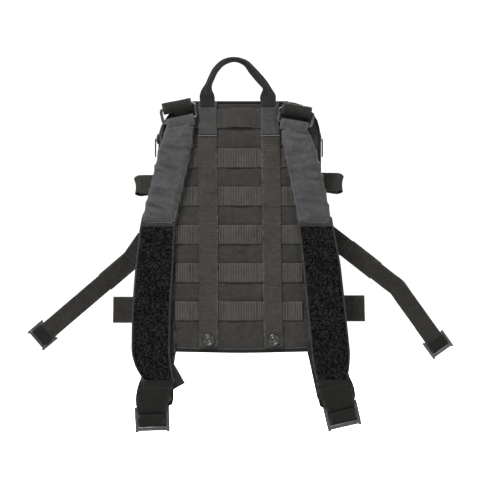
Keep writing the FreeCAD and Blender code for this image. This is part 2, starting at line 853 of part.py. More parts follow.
def make_side_strap(side, sign):
    """The doubled root, the strap that folds at its seam, and the ladder lock."""
    tilt, second = cell(side, "side_tilt"), cell(side, "second_tilt")
    x, z = cell(side, "seam_x"), cell(side, "seam_z")
    half = "Dims.webbing / 2"
    edge = f"{sign} * Dims.panel_width / 2"
    gap = "Dims.root_gap"
    inner = across(tilt, f"{-sign} * {half}", gap, x, z)
    outer = across(tilt, f"{sign} * {half}", gap, x, z)
    corners = [(edge, cell(side, "root_high")), outer, inner, (edge, cell(side, "root_low"))]
    root_depth = "-Dims.side_depth - Dims.root_thickness / 2"
    keep(flat_polygon(f"{side}_side_strap_root", corners, root_depth, "Dims.root_thickness"))

    thick = "Dims.side_thickness"
    depth = f"-Dims.side_depth - {thick} / 2"
    first = cell(side, "first_length")
    bend_x, bend_z = along(tilt, first, x, z)
    length = cell(side, "second_length")
    bore = "Dims.small_lock_bore"
    near = flat_strip(
        f"{side}_side_near", "Dims.webbing", first, depth, thick, x=x, z=z, tilt=tilt, drop=f"{first} / 2"
    )
    reach = f"({length} - {bore} - Dims.sleeve_gap)"
    far_name, half_way = f"{side}_side_far", f"{reach} / 2"
    far = flat_strip(
        far_name, "Dims.webbing", reach, depth, thick, x=bend_x, z=bend_z, tilt=second, drop=half_way
    )
    elbow = new_body(f"{side}_side_elbow")
    sketch = new_sketch(elbow, f"{side}_elbow_outline", offset=depth)
    draw_circle(sketch, half)
    pad(elbow, sketch, thick)
    place(elbow, x=bend_x, z=bend_z)
    bar_x, bar_z = along(second, length, bend_x, bend_z)
    fold = sleeve(
        f"{side}_side_fold",
        "Dims.small_lock_sleeve",
        bore,
        "Dims.small_lock_sleeve_length",
        bar_x,
        "Dims.side_depth",
        bar_z,
        second,
    )
    keep(fuse(f"{side}_side_strap", [near, elbow, far, fold]))
    drop = "(Dims.small_lock_height - Dims.small_lock_top_bar) / 2"
    lock_x, lock_z = along(second, drop, bar_x, bar_z)
    ladder_lock(f"{side}_side_lock", "small_", lock_x, "Dims.side_depth", lock_z, second)


def make_side_loop(side, sign):
    """An open webbing loop on the upper part of the pack's side."""
    body = new_body(f"{side}_upper_loop")
    sketch = new_sketch(body, f"{side}_loop_section", plane="XY_Plane")
    thick = "Dims.webbing_thickness"
    outer_w, outer_d = "Dims.loop_reach", f"Dims.loop_gap + 2 * {thick}"
    draw_rounded(sketch, outer_w, outer_d, "Dims.loop_corner")
    draw_rounded(sketch, f"{outer_w} - 2 * {thick}", "Dims.loop_gap", "Dims.loop_inner_corner")
    pad(body, sketch, "Dims.webbing", midplane=True)
    x = f"{sign} * (Dims.panel_width + Dims.loop_reach) / 2"
    place(body, x=x, y="Dims.side_depth - Dims.loop_gap", z=cell(side, "loop_z"))
    keep(body)


def make_side_tab(side, sign):
    """A flat folded tab of wide webbing on the lower part of the pack's side."""
    keep(
        flat_strip(
            f"{side}_lower_tab",
            "Dims.tab_reach",
            "Dims.tab_height",
            "-Dims.side_depth - Dims.root_thickness / 2",
            "Dims.root_thickness",
            x=f"{sign} * (Dims.panel_width + Dims.tab_reach) / 2",
            z=cell(side, "tab_z"),
        )
    )


def make_slider(side, sign):
    """A zipper slider on the side run of the zipper, with its hanging pull."""
    middle = "Dims.seam_depth + Dims.tape_width + Dims.tape_gap / 2"
    face = "Dims.panel_width / 2 + Dims.tape_proud + Dims.clearance"
    slider = new_body(f"{side}_zipper_slider")
    sketch = new_sketch(slider, f"{side}_slider_outline", plane="YZ_Plane")
    draw_rounded(sketch, "Dims.slider_width", "Dims.slider_height", "Dims.slider_corner")
    pad(slider, sketch, "Dims.slider_thickness", midplane=True)
    place(slider, x=f"{sign} * ({face} + Dims.slider_thickness / 2)", y=middle, z="Dims.slider_z")
    keep(slider)
    pull = new_body(f"{side}_zipper_pull")
    sketch = new_sketch(pull, f"{side}_pull_outline", plane="YZ_Plane")
    corner = "Dims.pull_corner"
    middle_drop = f"{corner} - Dims.pull_length / 2"
    draw_rounded(sketch, "Dims.pull_width", "Dims.pull_length", corner, y=middle_drop)
    pad(pull, sketch, "Dims.pull_thickness", midplane=True)
    out = f"{face} + Dims.slider_thickness + Dims.clearance + Dims.pull_thickness / 2"
    place(pull, x=f"{sign} * ({out})", y=middle, z="Dims.slider_z")
    keep(pull)


# ---------------------------------------------------------------- build and write


def build_all():
    fill_sheet()
    make_shell()
    make_front_details()
    make_inside()
    make_back_rows()
    make_handle()
    snaps = []
    for side, sign in SIDES.items():
        snaps.append(make_attachment(side, sign))
        make_ring(side)
        make_shoulder_strap(side)
        make_strap_end(side)
        make_adjuster(side)
        make_side_strap(side, sign)
        make_side_loop(side, sign)
        make_side_tab(side, sign)
        make_slider(side, sign)
    make_studs(snaps)
    doc.recompute()


def check_all():
    """Stop if any object failed, or any piece isn't a valid solid."""
    for item in doc.Objects:
        if "Invalid" in item.State or "Error" in item.State:
            raise RuntimeError(f"{item.Label} failed: {item.State}")
    for piece in parts:
        shape = piece.Shape
        if shape.isNull() or not shape.isValid() or shape.Volume <= 0:
            raise RuntimeError(f"{piece.Label} isn't a valid solid")


def write_all():
    """One STEP file for each piece, named by its label."""
    os.makedirs("parts", exist_ok=True)
    for piece in parts:
        piece.Shape.exportStep(f"parts/{piece.Label}.step")
    print(len(parts), "pieces written")


build_all()
check_all()
write_all()
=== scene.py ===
import json
import math

import bmesh
import bpy
import numpy as np
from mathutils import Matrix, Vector, noise
from mathutils.bvhtree import BVHTree


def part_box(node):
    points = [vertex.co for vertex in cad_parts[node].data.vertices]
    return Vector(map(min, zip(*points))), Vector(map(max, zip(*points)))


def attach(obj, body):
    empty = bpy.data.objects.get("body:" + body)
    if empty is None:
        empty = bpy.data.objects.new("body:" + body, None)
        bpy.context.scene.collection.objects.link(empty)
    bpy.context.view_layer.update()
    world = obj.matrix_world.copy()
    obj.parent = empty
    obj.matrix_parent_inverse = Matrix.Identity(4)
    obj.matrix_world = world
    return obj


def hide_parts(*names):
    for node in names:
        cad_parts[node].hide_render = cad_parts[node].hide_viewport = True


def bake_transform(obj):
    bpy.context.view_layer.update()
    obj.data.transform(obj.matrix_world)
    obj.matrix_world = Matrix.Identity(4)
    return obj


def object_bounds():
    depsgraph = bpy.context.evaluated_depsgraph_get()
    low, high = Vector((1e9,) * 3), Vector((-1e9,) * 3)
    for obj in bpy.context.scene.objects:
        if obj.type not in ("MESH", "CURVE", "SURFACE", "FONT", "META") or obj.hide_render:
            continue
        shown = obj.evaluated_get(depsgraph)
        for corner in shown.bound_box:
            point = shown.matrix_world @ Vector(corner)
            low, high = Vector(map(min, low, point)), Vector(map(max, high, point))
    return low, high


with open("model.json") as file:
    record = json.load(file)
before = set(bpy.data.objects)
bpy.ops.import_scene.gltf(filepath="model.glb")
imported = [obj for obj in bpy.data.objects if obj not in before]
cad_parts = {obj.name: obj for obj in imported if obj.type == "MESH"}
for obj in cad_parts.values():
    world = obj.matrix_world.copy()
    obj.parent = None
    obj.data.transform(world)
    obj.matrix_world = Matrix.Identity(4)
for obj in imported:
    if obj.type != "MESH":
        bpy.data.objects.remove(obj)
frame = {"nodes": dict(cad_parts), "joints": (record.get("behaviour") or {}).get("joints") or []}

cad_low, cad_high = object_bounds()

MM = 0.001
SIDES = {"left": -1, "right": 1}
UP = np.array((0.0, 0.0, 1.0))
RIGHT = np.array((1.0, 0.0, 0.0))
TO_FRONT = np.array((0.0, 1.0, 0.0))
TO_WEARER = np.array((0.0, -1.0, 0.0))
PANEL_LOW, PANEL_HIGH = (np.array(corner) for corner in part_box("back_panel"))
PANEL_WIDTH = PANEL_HIGH[0] - PANEL_LOW[0]
PANEL_HEIGHT = PANEL_HIGH[2] - PANEL_LOW[2]
CORNER_RADIUS = 18 * MM
TOP_CORNER_RADIUS = 46 * MM
BOTTOM_SAG = 2.4 * MM
LEFT_PRESS = 6 * MM
WEBBING_HALF = 12.7 * MM
WEBBING_THICK = 1.6 * MM
SEAM_HALF = 10.5 * MM
FINE_THREAD = 0.26 * MM

# ---------------------------------------------------------------- joints and CAD shapes

joints = {joint["name"]: joint for joint in frame["joints"]}


class Local:
    """A joint's own frame: across its bar towards +X, up, and the point it turns about."""

    def __init__(self, joint_name):
        joint = joints[joint_name]
        axis = np.array(joint["axis"], float)
        self.across = axis * math.copysign(1, axis[0])
        self.up = np.array((-self.across[2], 0.0, self.across[0]))
        self.origin = np.array(joint["pos_m"], float)

    def at(self, across, depth, up):
        """The point in the row frame; depth is towards +Y."""
        return self.origin + self.across * across + TO_FRONT * depth + self.up * up

    def mm(self, across, depth, up):
        """The same point from sizes in millimetres."""
        return self.at(across * MM, depth * MM, up * MM)


def node_points(node):
    """A CAD node's vertices at rest."""
    return np.array([v.co for v in frame["nodes"][node].data.vertices], float)


def edges_at(node, height):
    """The lowest and highest X of a CAD node where it crosses a height."""
    mesh = frame["nodes"][node].data
    points = node_points(node)
    crossings = []
    for edge in mesh.edges:
        a, b = points[edge.vertices[0]], points[edge.vertices[1]]
        if (a[2] - height) * (b[2] - height) <= 0 and a[2] != b[2]:
            share = (height - a[2]) / (b[2] - a[2])
            crossings.append(a[0] + (b[0] - a[0]) * share)
    return min(crossings), max(crossings)


# ---------------------------------------------------------------- paths and meshes


def smooth_path(points, step=3 * MM):
    """A curve through the given points, with a point every step."""
    points = np.array(points, float)
    ends = np.vstack((2 * points[0] - points[1], points, 2 * points[-1] - points[-2]))
    fine = []
    shares = np.linspace(0, 1, 24, endpoint=False)[:, None]
    for a, b, c, d in zip(ends, ends[1:], ends[2:], ends[3:]):
        fine.append(
            0.5 * (2 * b + (c - a) * shares + (2 * a - 5 * b + 4 * c - d) * shares**2
                   + (3 * b - a - 3 * c + d) * shares**3)
        )
    fine = np.vstack(fine + [points[-1:]])
    return even_path(fine, step)


def distances(points):
    """How far along a line each of its points is."""
    steps = np.linalg.norm(np.diff(points, axis=0), axis=1)
    return np.concatenate(([0.0], np.cumsum(steps)))


def read_at(points, along, wanted):
    """A line's points at the wanted places along it."""
    return np.stack([np.interp(wanted, along, column) for column in points.T], 1)


def even_path(points, step):
    """The same line with its points a step apart."""
    along = distances(points)
    count = max(2, int(round(along[-1] / step)) + 1)
    return read_at(points, along, np.linspace(0, along[-1], count))


def unit(vectors):
    """Vectors with their length made 1."""
    return vectors / np.maximum(np.linalg.norm(vectors, axis=-1, keepdims=True), 1e-12)


def headings_along(path, closed=False):
    """The direction of a line at each of its points."""
    if closed:
        return unit(np.roll(path, -1, 0) - np.roll(path, 1, 0))
    return unit(np.gradient(path, axis=0))


def signed_power(value, power):
    """A power that keeps the sign, which squares off a sine or cosine."""
    return math.copysign(abs(value) ** power, value)


def ease(value):
    """Zero below 0, one above 1, smooth between."""
    value = np.clip(value, 0, 1)
    return value * value * (3 - 2 * value)


def new_piece(name, points, faces, material, weave=None):
    """A mesh object with outward faces; weave is a vector in metres at each point."""
    mesh = bpy.data.meshes.new(name)
    mesh.from_pydata(np.asarray(points, float).tolist(), [], faces)
    if weave is not None:
        layer = mesh.attributes.new("weave", "FLOAT_VECTOR", "POINT")
        layer.data.foreach_set("vector", np.asarray(weave, np.float32).ravel())
    shape = bmesh.new()
    shape.from_mesh(mesh)
    bmesh.ops.recalc_face_normals(shape, faces=shape.faces)
    shape.to_mesh(mesh)
    shape.free()
    mesh.polygons.foreach_set("use_smooth", [True] * len(mesh.polygons))
    piece = bpy.data.objects.new(name, mesh)
    bpy.context.scene.collection.objects.link(piece)
    piece.data.materials.append(material)
    return piece


def settle(piece, body, slot, *nodes):
    """The piece rides on a body and stands for the nodes; slot is not used."""
    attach(piece, body)
    if nodes:
        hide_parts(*nodes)
    return piece


def merged(parts):
    """Several (points, faces) pairs as one."""
    points, faces, start = [], [], 0
    for part_points, part_faces in parts:
        points.append(np.asarray(part_points, float))
        faces.extend([[index + start for index in face] for face in part_faces])
        start += len(part_points)
    return np.vstack(points), faces


def crowned(edge, radius, least):
    """How full a soft rim is at a distance from its edge: a quarter circle from a least share."""
    return math.sqrt(1 - (1 - min(1, edge / radius + least)) ** 2)


def cross_line(middle, across, half, count=8):
    """A straight line of points across a strap."""
    return np.linspace(middle - across * half, middle + across * half, count)


def box_middle(node):
    """The middle of a CAD node's box."""
    low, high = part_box(node)
    return (np.array(low) + np.array(high)) / 2


def bridged(piece, slot, first, second, start, end, *nodes):
    """The piece crosses a joint; its transform is baked into its mesh and the nodes are hidden. first,
    second, start and end are not used.
    """
    if nodes:
        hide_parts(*nodes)
    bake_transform(piece)


def assembled(name, parts, material, body, slot, *nodes):
    """Several (points, faces) pairs as one piece that rides on a body."""
    points, faces = merged(parts)
    return settle(new_piece(name, points, faces, material), body, slot, *nodes)


RIB_HEIGHT = 0.3 * MM
# A webbing's cross-section: places across it, and how much of its thickness it has there.
ACROSS = np.array((-1, -0.975, -0.9, -0.7, -0.35, 0, 0.35, 0.7, 0.9, 0.975, 1))
SWELL = np.array((0.3, 0.8, 1.04, 1.0, 0.97, 0.95, 0.97, 1.0, 1.04, 0.8, 0.3))


def ring_faces(count, size, closed=False, capped=True):
    """Faces between rings of points, with one over each open end."""
    faces = []
    for i in range(count if closed else count - 1):
        low, high = i * size, ((i + 1) % count) * size
        for j in range(size):
            k = (j + 1) % size
            faces.append((low + j, low + k, high + k, high + j))
    if capped and not closed:
        faces.append(tuple(range(size)))
        faces.append(tuple((count - 1) * size + j for j in range(size)))
    return faces


def ribbon(name, centres, across, half, thick, material, closed=False, ripple=0.0, seed=0,
           rib=0.0, worn=0):
    """A woven band along a line of centres, with rounded selvedges.

    rib is the pitch of raised ribs across it; worn picks one selvedge that shows its threads."""
    centres = np.array(centres, float)
    count = len(centres)
    across = np.broadcast_to(np.array(across, float), (count, 3))
    half = np.broadcast_to(np.array(half, float), (count,))
    tangent = headings_along(centres, closed)
    across = unit(across - (across * tangent).sum(1, keepdims=True) * tangent)
    normal = np.cross(across, tangent)
    along = distances(centres)
    profile = [(s, k) for s, k in zip(ACROSS, SWELL)]
    profile += [(s, -k) for s, k in zip(ACROSS[::-1], SWELL[::-1])]
    size = len(profile)
    points = np.zeros((count, size, 3))
    weave = np.zeros((count, size, 3))
    for j, (s, k) in enumerate(profile):
        points[:, j] = centres + across * (s * half)[:, None] + normal * (k * thick / 2)
        weave[:, j, 0] = s * half
        weave[:, j, 1] = along
        weave[:, j, 2] = ease((abs(s) - 0.86) / 0.12) * (worn * s >= 0)
    if rib:
        rise = RIB_HEIGHT * (np.abs(np.sin(along * math.pi / rib)) - 0.5)
        flat = np.array([1.0 if abs(s) < 0.95 else 0.0 for s in ACROSS])
        for j, share in enumerate(flat):
            points[:, j] += normal * (rise * share)[:, None]
            points[:, size - 1 - j] -= normal * (rise * share)[:, None]
    if ripple:
        for i in range(count):
            for s in range(len(ACROSS)):
                place = Vector((ACROSS[s] * 0.9 + seed * 7.3, along[i] / (14 * MM), seed * 3.1))
                lift = normal[i] * (noise.noise(place) * ripple)
                points[i, s] += lift
                points[i, size - 1 - s] += lift
    faces = ring_faces(count, size, closed, capped=False)
    if not closed:
        for base in (0, (count - 1) * size):
            for j in range(len(ACROSS) - 1):
                faces.append((base + j, base + j + 1, base + size - 2 - j, base + size - 1 - j))
    return new_piece(name, points.reshape(-1, 3), faces, material, weave.reshape(-1, 3))


def tube(path, radius_a, radius_b, side, closed=False, sides=12, power=2.0, ends=(0.5, 0.85)):
    """Points and faces of a bar along a path; side is the direction of radius_a."""
    path = np.array(path, float)
    count = len(path)
    tangent = headings_along(path, closed)
    side = np.broadcast_to(np.array(side, float), (count, 3))
    side = unit(side - (side * tangent).sum(1, keepdims=True) * tangent)
    other = np.cross(tangent, side)
    scale = np.ones(count)
    if not closed:
        for i, share in enumerate(ends):
            scale[i] = scale[count - 1 - i] = share
    turn = np.arange(sides) / sides * 2 * math.pi
    shape_a = np.sign(np.cos(turn)) * abs(np.cos(turn)) ** (2 / power)
    shape_b = np.sign(np.sin(turn)) * abs(np.sin(turn)) ** (2 / power)
    a = side[:, None] * (shape_a * radius_a)[None, :, None]
    b = other[:, None] * (shape_b * radius_b)[None, :, None]
    points = path[:, None] + (a + b) * scale[:, None, None]
    return points.reshape(-1, 3), ring_faces(count, sides, closed)


def tube_weave(path, sides):
    """Weave coordinates for a closed tube: round it and along it."""
    weave = np.zeros((len(path), sides, 3))
    weave[:, :, 0] = np.abs(np.arange(sides) - sides / 2) * MM
    weave[:, :, 1] = distances(path)[:, None]
    return weave.reshape(-1, 3)


def bar(start, end, radius_a, radius_b, side, power=4.0, sides=16):
    """A moulded bar with softened ends."""
    start, end = np.array(start, float), np.array(end, float)
    length = np.linalg.norm(end - start)
    soft = min(0.6 * min(radius_a, radius_b), length / 4)
    shares = np.array((0, soft * 0.35, soft, length - soft, length - soft * 0.35, length)) / length
    path = start + (end - start) * shares[:, None]
    return tube(path, radius_a, radius_b, side, sides=sides, power=power, ends=(0.72, 0.92))


def slab(name, front, back, material):
    """A closed soft piece from two grids of points that share a rim."""
    rows, columns = front.shape[:2]
    points = np.vstack((front.reshape(-1, 3), back.reshape(-1, 3)))
    start = rows * columns
    faces = []
    for i in range(rows - 1):
        for j in range(columns - 1):
            a = i * columns + j
            quad = (a, a + 1, a + columns + 1, a + columns)
            faces.append(quad)
            faces.append(tuple(start + k for k in quad[::-1]))
    rim = [(0, j) for j in range(columns)]
    rim += [(i, columns - 1) for i in range(1, rows)]
    rim += [(rows - 1, j) for j in range(columns - 2, -1, -1)]
    rim += [(i, 0) for i in range(rows - 2, 0, -1)]
    for (i, j), (k, m) in zip(rim, rim[1:] + rim[:1]):
        a, b = i * columns + j, k * columns + m
        faces.append((a, b, start + b, start + a))
    flat = np.linalg.norm(np.diff(front[:, :, [0, 2]], axis=1), axis=2)
    u = np.concatenate((np.zeros((rows, 1)), np.cumsum(flat, 1)), 1)
    u = u - u[:, -1:] / 2
    flat = np.linalg.norm(np.diff(front, axis=0), axis=2)
    v = np.concatenate((np.zeros((1, columns)), np.cumsum(flat, 0)), 0)
    edge = np.minimum(u - u[:, :1], u[:, -1:] - u)
    near = 1 - ease(edge / (2.2 * MM))
    weave = np.stack((u, v, near), 2).reshape(-1, 3)
    return new_piece(name, points, faces, material, np.vstack((weave, weave)))


def grid_slab(name, rows, columns, surfaces, material):
    """A slab on a grid; surfaces(row, column) gives its front and its back point there."""
    front = np.zeros((len(rows), len(columns), 3))
    back = front.copy()
    for i, row in enumerate(rows):
        for j, column in enumerate(columns):
            front[i, j], back[i, j] = surfaces(row, column)
    return slab(name, front, back, material)


def outline(outset, step=4 * MM, hang=0.0):
    """The pack's outline, moved out, from the bottom's middle and back to it, anticlockwise.

    hang is the share of the lower edge's sag that this outline has.
    """
    lower, upper = CORNER_RADIUS + outset, TOP_CORNER_RADIUS + outset
    half = PANEL_WIDTH / 2 + outset
    low, high = -outset, PANEL_HEIGHT + outset
    corners = ((half - lower, low + lower, -90, lower), (half - upper, high - upper, 0, upper),
               (upper - half, high - upper, 90, upper), (lower - half, low + lower, 180, lower))
    line = [(0.0, low)]
    for x, z, start, radius in corners:
        for turn in np.radians(np.linspace(start, start + 90, 13)):
            line.append((x + radius * math.cos(turn), z + radius * math.sin(turn)))
    line.append((0.0, low))
    line = even_path(np.array(line), step)[:-1]
    line[:, 1] -= hang * sag(line[:, 0], line[:, 1])
    return line


def sag(x, z):
    """How far the soft lower edge hangs in its middle."""
    return BOTTOM_SAG * (1 - ease(abs(x) / (PANEL_WIDTH / 2))) * (1 - ease(z / (30 * MM)))


def band_round(name, depth, half, outset, thick, material):
    """A band that runs round the pack's outline at one depth."""
    line = outline(outset)
    centres = np.stack((line[:, 0], np.full(len(line), depth), line[:, 1]), 1)
    return ribbon(name, centres, TO_FRONT, half, thick, material, closed=True)


# ---------------------------------------------------------------- materials


def linear(value):
    """A display value from 0 to 255 as a linear share."""
    value = value / 255
    return value / 12.92 if value <= 0.04045 else ((value + 0.055) / 1.055) ** 2.4


FABRIC_SHINE = 0.02
LIGHT_SHARE = 0.102


def shade(red, green, blue):
    """A surface colour that looks like these display values in this scene's light."""
    return tuple(linear(v) * LIGHT_SHARE for v in (red, green, blue)) + (1.0,)


class Nodes:
    """A material's node tree, with short calls for the nodes this scene uses."""

    def __init__(self, name):
        self.material = bpy.data.materials.new(name)
        self.material.use_nodes = True
        self.tree = self.material.node_tree
        self.shader = self.tree.nodes["Principled BSDF"]

    def node(self, kind, inputs=(), **settings):
        made = self.tree.nodes.new(kind)
        for name, value in settings.items():
            setattr(made, name, value)
        for name, value in dict(inputs).items():
            self.set(made.inputs[name], value)
        return made

    def set(self, socket, value):
        if isinstance(value, bpy.types.NodeSocket):
            self.tree.links.new(value, socket)
        else:
            socket.default_value = value

    def math(self, operation, *values):
        made = self.node("ShaderNodeMath", operation=operation)
        for socket, value in zip(made.inputs, values):
            self.set(socket, value)
        return made.outputs[0]

    def noise(self, vector, scale, detail=3.0, rough=0.6):
        made = self.node("ShaderNodeTexNoise", {"Vector": vector, "Scale": scale,
                                                "Detail": detail, "Roughness": rough})
        return made.outputs["Fac"]

    def span(self, value, low, high, to_low=0.0, to_high=1.0):
        """Map a value from one range to another, and hold it there."""
        made = self.node("ShaderNodeMapRange", {"Value": value, "From Min": low, "From Max": high,
                                                "To Min": to_low, "To Max": to_high})
        return made.outputs["Result"]

    def mix(self, share, first, second):
        made = self.node("ShaderNodeMix", data_type="RGBA")
        for socket, value in zip((made.inputs[0], made.inputs[6], made.inputs[7]), (share, first, second)):
            self.set(socket, value)
        return made.outputs[2]

    def places(self):
        return self.node("ShaderNodeTexCoord").outputs["Object"]

    def weave(self):
        """Across, along and edge nearness from the mesh's weave attribute."""
        read = self.node("ShaderNodeAttribute", attribute_name="weave")
        return self.node("ShaderNodeSeparateXYZ", {"Vector": read.outputs["Vector"]}).outputs

    def wave(self, value, pitch):
        """A ridge from 0 to 1 for every pitch of a length."""
        return self.math("ABSOLUTE", self.math("SINE", self.math("MULTIPLY", value, math.pi / pitch)))

    def bump(self, height, distance, strength=1.0):
        made = self.node("ShaderNodeBump", {"Height": height, "Distance": distance, "Strength": strength})
        self.set(self.shader.inputs["Normal"], made.outputs["Normal"])

    def finished(self, looks):
        """The material, with these values on the shader's sockets."""
        for name, value in looks.items():
            self.set(self.shader.inputs[name], value)
        return self.material


def dark(colour, share):
    """A colour with its brightness multiplied."""
    return tuple(c * share for c in colour[:3]) + (1.0,)


def fabric_colour(nodes, colour, relief, edge, hollow_shade, edge_colour):
    """Blotches, light fluff specks and edge wear laid over a colour, with painted shade in the hollows of
    the thread relief.
    """
    place = nodes.places()
    blotch = nodes.noise(place, 48.0, 5.0, 0.65)
    mottle = nodes.noise(place, 210.0, 3.0, 0.6)
    grain = nodes.noise(place, 420.0, 2.0)
    tint = nodes.mix(nodes.span(blotch, 0.36, 0.66), dark(colour, 0.85), dark(colour, 1.15))
    tint = nodes.mix(nodes.span(mottle, 0.5, 0.34, 0.0, 0.4), tint, dark(colour, 0.5))
    tint = nodes.mix(nodes.span(mottle, 0.54, 0.7, 0.0, 0.25), tint, dark(colour, 1.8))
    # painted shade: the low parts of the thread relief are darkened, most where the relief is lowest
    tint = nodes.mix(nodes.span(relief, 0.0, 1.0, hollow_shade, 0.0), tint, dark(colour, 0.2))
    tint = nodes.mix(nodes.span(grain, 0.56, 0.78, 0.0, 0.35), tint, dark(colour, 2.2))
    if edge is not None:
        worn = nodes.math("MULTIPLY", edge, nodes.span(nodes.noise(place, 150.0), 0.42, 0.66, 0.0, 0.75))
        tint = nodes.mix(worn, tint, edge_colour)
    nodes.set(nodes.shader.inputs["Base Color"], tint)
    rough = nodes.span(grain, 0.3, 0.7, 0.62, 0.86)
    nodes.set(nodes.shader.inputs["Roughness"], rough)


def webbing_material(name, colour, rib=2.3 * MM, hollow_shade=0.55, worn=None):
    """Nylon webbing: ribs across its length, fine threads along it."""
    nodes = Nodes(name)
    across, along, edge = nodes.weave()
    ribs = nodes.wave(along, rib)
    threads = nodes.wave(across, 1.15 * MM)
    relief = nodes.math("MULTIPLY_ADD", threads, 0.35, nodes.math("MULTIPLY", ribs, 0.65))
    fabric_colour(nodes, colour, relief, edge, hollow_shade, worn or shade(104, 101, 96))
    nodes.bump(relief, 0.35 * MM, 0.8)
    return nodes.finished({"Sheen Weight": 0.01, "Sheen Roughness": 0.5,
                           "Specular IOR Level": FABRIC_SHINE})


def cloth_material(name, colour, pitch=0.9 * MM, hollow_shade=0.4, sheen=0.01, creases=0.5 * MM):
    """Coated plain-weave nylon: crossing threads, with soft creases."""
    nodes = Nodes(name)
    across, along, edge = nodes.weave()
    warp, weft = nodes.wave(across, pitch), nodes.wave(along, pitch)
    turns = [nodes.math("SINE", nodes.math("MULTIPLY", value, math.pi / pitch))
             for value in (across, along)]
    over = nodes.math("GREATER_THAN", nodes.math("MULTIPLY", *turns), 0.0)
    relief = nodes.math("ADD", nodes.math("MULTIPLY", over, warp),
                        nodes.math("MULTIPLY", nodes.math("SUBTRACT", 1.0, over), weft))
    fabric_colour(nodes, colour, relief, edge, hollow_shade, dark(colour, 2.0))
    crease = nodes.noise(nodes.places(), 55.0, 3.0)
    height = nodes.math("ADD", nodes.math("MULTIPLY", relief, 0.18 * MM),
                        nodes.math("MULTIPLY", crease, creases))
    nodes.bump(height, 1.0, 0.9)
    return nodes.finished({"Sheen Weight": sheen, "Sheen Roughness": 0.45,
                           "Specular IOR Level": FABRIC_SHINE})


def pile_material(name, colour, lint_and_tip_highlight):
    """Loop pile: a dark mat of tiny loops; its colour follows the bump, lighter on the raised tips as lint
    and a painted highlight, darker between as painted shade.
    """
    nodes = Nodes(name)
    place = nodes.places()
    tufts = nodes.noise(place, 470.0, 3.0, 0.7)
    clumps = nodes.noise(place, 260.0, 2.0)
    both = nodes.math("MULTIPLY_ADD", tufts, 0.65, nodes.math("MULTIPLY", clumps, 0.35))
    nodes.bump(both, 1.6 * MM, 1.0)
    # painted highlight and shade: the colour rises with the pile's bump height, so raised tips are lighter
    # and the deep pile darker
    tint = nodes.mix(nodes.span(both, 0.46, 0.64), colour, lint_and_tip_highlight)
    return nodes.finished({"Base Color": tint, "Roughness": 0.95, "Specular IOR Level": 0.0})


def hard_material(name, colour, rough, scratch, metal=0.0):
    """Moulded plastic or coated metal with fine texture, scuffs and worn spots."""
    nodes = Nodes(name)
    place = nodes.places()
    scuff = nodes.noise(place, 60.0, 6.0, 0.7)
    nodes.bump(nodes.noise(place, 900.0, 2.0), 0.05 * MM, 0.6)
    return nodes.finished({
        "Base Color": nodes.mix(nodes.span(scuff, 0.52, 0.72, 0.0, 0.6), colour, scratch),
        "Roughness": nodes.span(scuff, 0.3, 0.7, rough - 0.08, rough + 0.14),
        "Metallic": metal,
        "Specular IOR Level": 0.16,
    })


def mesh_material(name, colour):
    """Knitted mesh: rows of small holes painted near-black, as the dark cloth and painted shade seen
    through them, between light bridges.
    """
    nodes = Nodes(name)
    across, along = nodes.weave()[:2]
    holes = nodes.math("MULTIPLY", nodes.wave(across, 2.4 * MM), nodes.wave(along, 2.0 * MM))
    solid = nodes.span(holes, 0.45, 0.6, 1.0, 0.0)
    nodes.bump(solid, 0.4 * MM, 0.9)
    # painted shade: the holes are drawn a fifth as bright as the bridges
    tint = nodes.mix(solid, dark(colour, 0.2), colour)
    return nodes.finished({"Base Color": tint, "Roughness": 0.75, "Specular IOR Level": FABRIC_SHINE})


ROW_RIB = 3.4 * MM
STRAP_RIB = 2.5 * MM

webbing = webbing_material("webbing_cloth", shade(78, 75, 70), hollow_shade=0.7)
row_webbing = webbing_material("row_webbing", shade(96, 92, 87), rib=ROW_RIB, hollow_shade=1.0)
dark_webbing = webbing_material("dark_webbing", shade(52, 49, 46))
handle_webbing = webbing_material("handle_webbing", shade(46, 44, 42), rib=1.3 * MM, hollow_shade=0.3)
# partly painted shade: the strap ends' own dark tone, also used round the locks' middle bars to stand for
# the shade inside the locks
end_webbing = webbing_material("end_webbing", shade(35, 34, 31), hollow_shade=0.5)
# painted shade: darker than the rows' webbing, for the shade in and under the roll's curl
roll_webbing = webbing_material("roll_webbing", shade(46, 45, 43), hollow_shade=0.4)
edge_webbing = webbing_material("edge_webbing", shade(82, 78, 72), STRAP_RIB, 0.8, shade(132, 130, 124))
side_webbing = webbing_material("side_webbing", shade(66, 63, 59), hollow_shade=0.5)
# painted shade: the side straps' webbing is drawn darker than side_webbing, the same webbing, for the
# darker look the light gives the straps
strap_webbing = webbing_material("strap_webbing", shade(57, 55, 51), hollow_shade=0.5)
pack_cloth = cloth_material("pack_cloth", shade(72, 70, 67))
pad_cloth = cloth_material("pad_cloth", shade(94, 93, 95), sheen=0.012, creases=1.6 * MM)
strap_cloth = cloth_material("strap_cloth", shade(66, 65, 66), sheen=0.012)
patch_cloth = cloth_material("patch_cloth", shade(86, 85, 85), pitch=0.7 * MM, creases=0.25 * MM)
binding_cloth = webbing_material("binding_cloth", shade(40, 39, 38), rib=1.2 * MM)
pile = pile_material("loop_pile", shade(15, 15, 15), shade(62, 62, 62))
plastic = hard_material("moulded_plastic", shade(44, 44, 46), 0.4, shade(96, 96, 98))
coated = hard_material("coated_metal", shade(52, 52, 53), 0.36, shade(100, 100, 100), metal=0.1)
cap_metal = hard_material("cap_metal", shade(24, 24, 25), 0.34, shade(72, 72, 72), metal=0.1)
pull_coating = hard_material("pull_coating", shade(14, 14, 15), 0.7, shade(50, 50, 50))
thread = hard_material("thread", shade(96, 94, 90), 0.7, shade(130, 128, 124))
pale_thread = hard_material("pale_thread", shade(122, 120, 116), 0.7, shade(150, 148, 142))
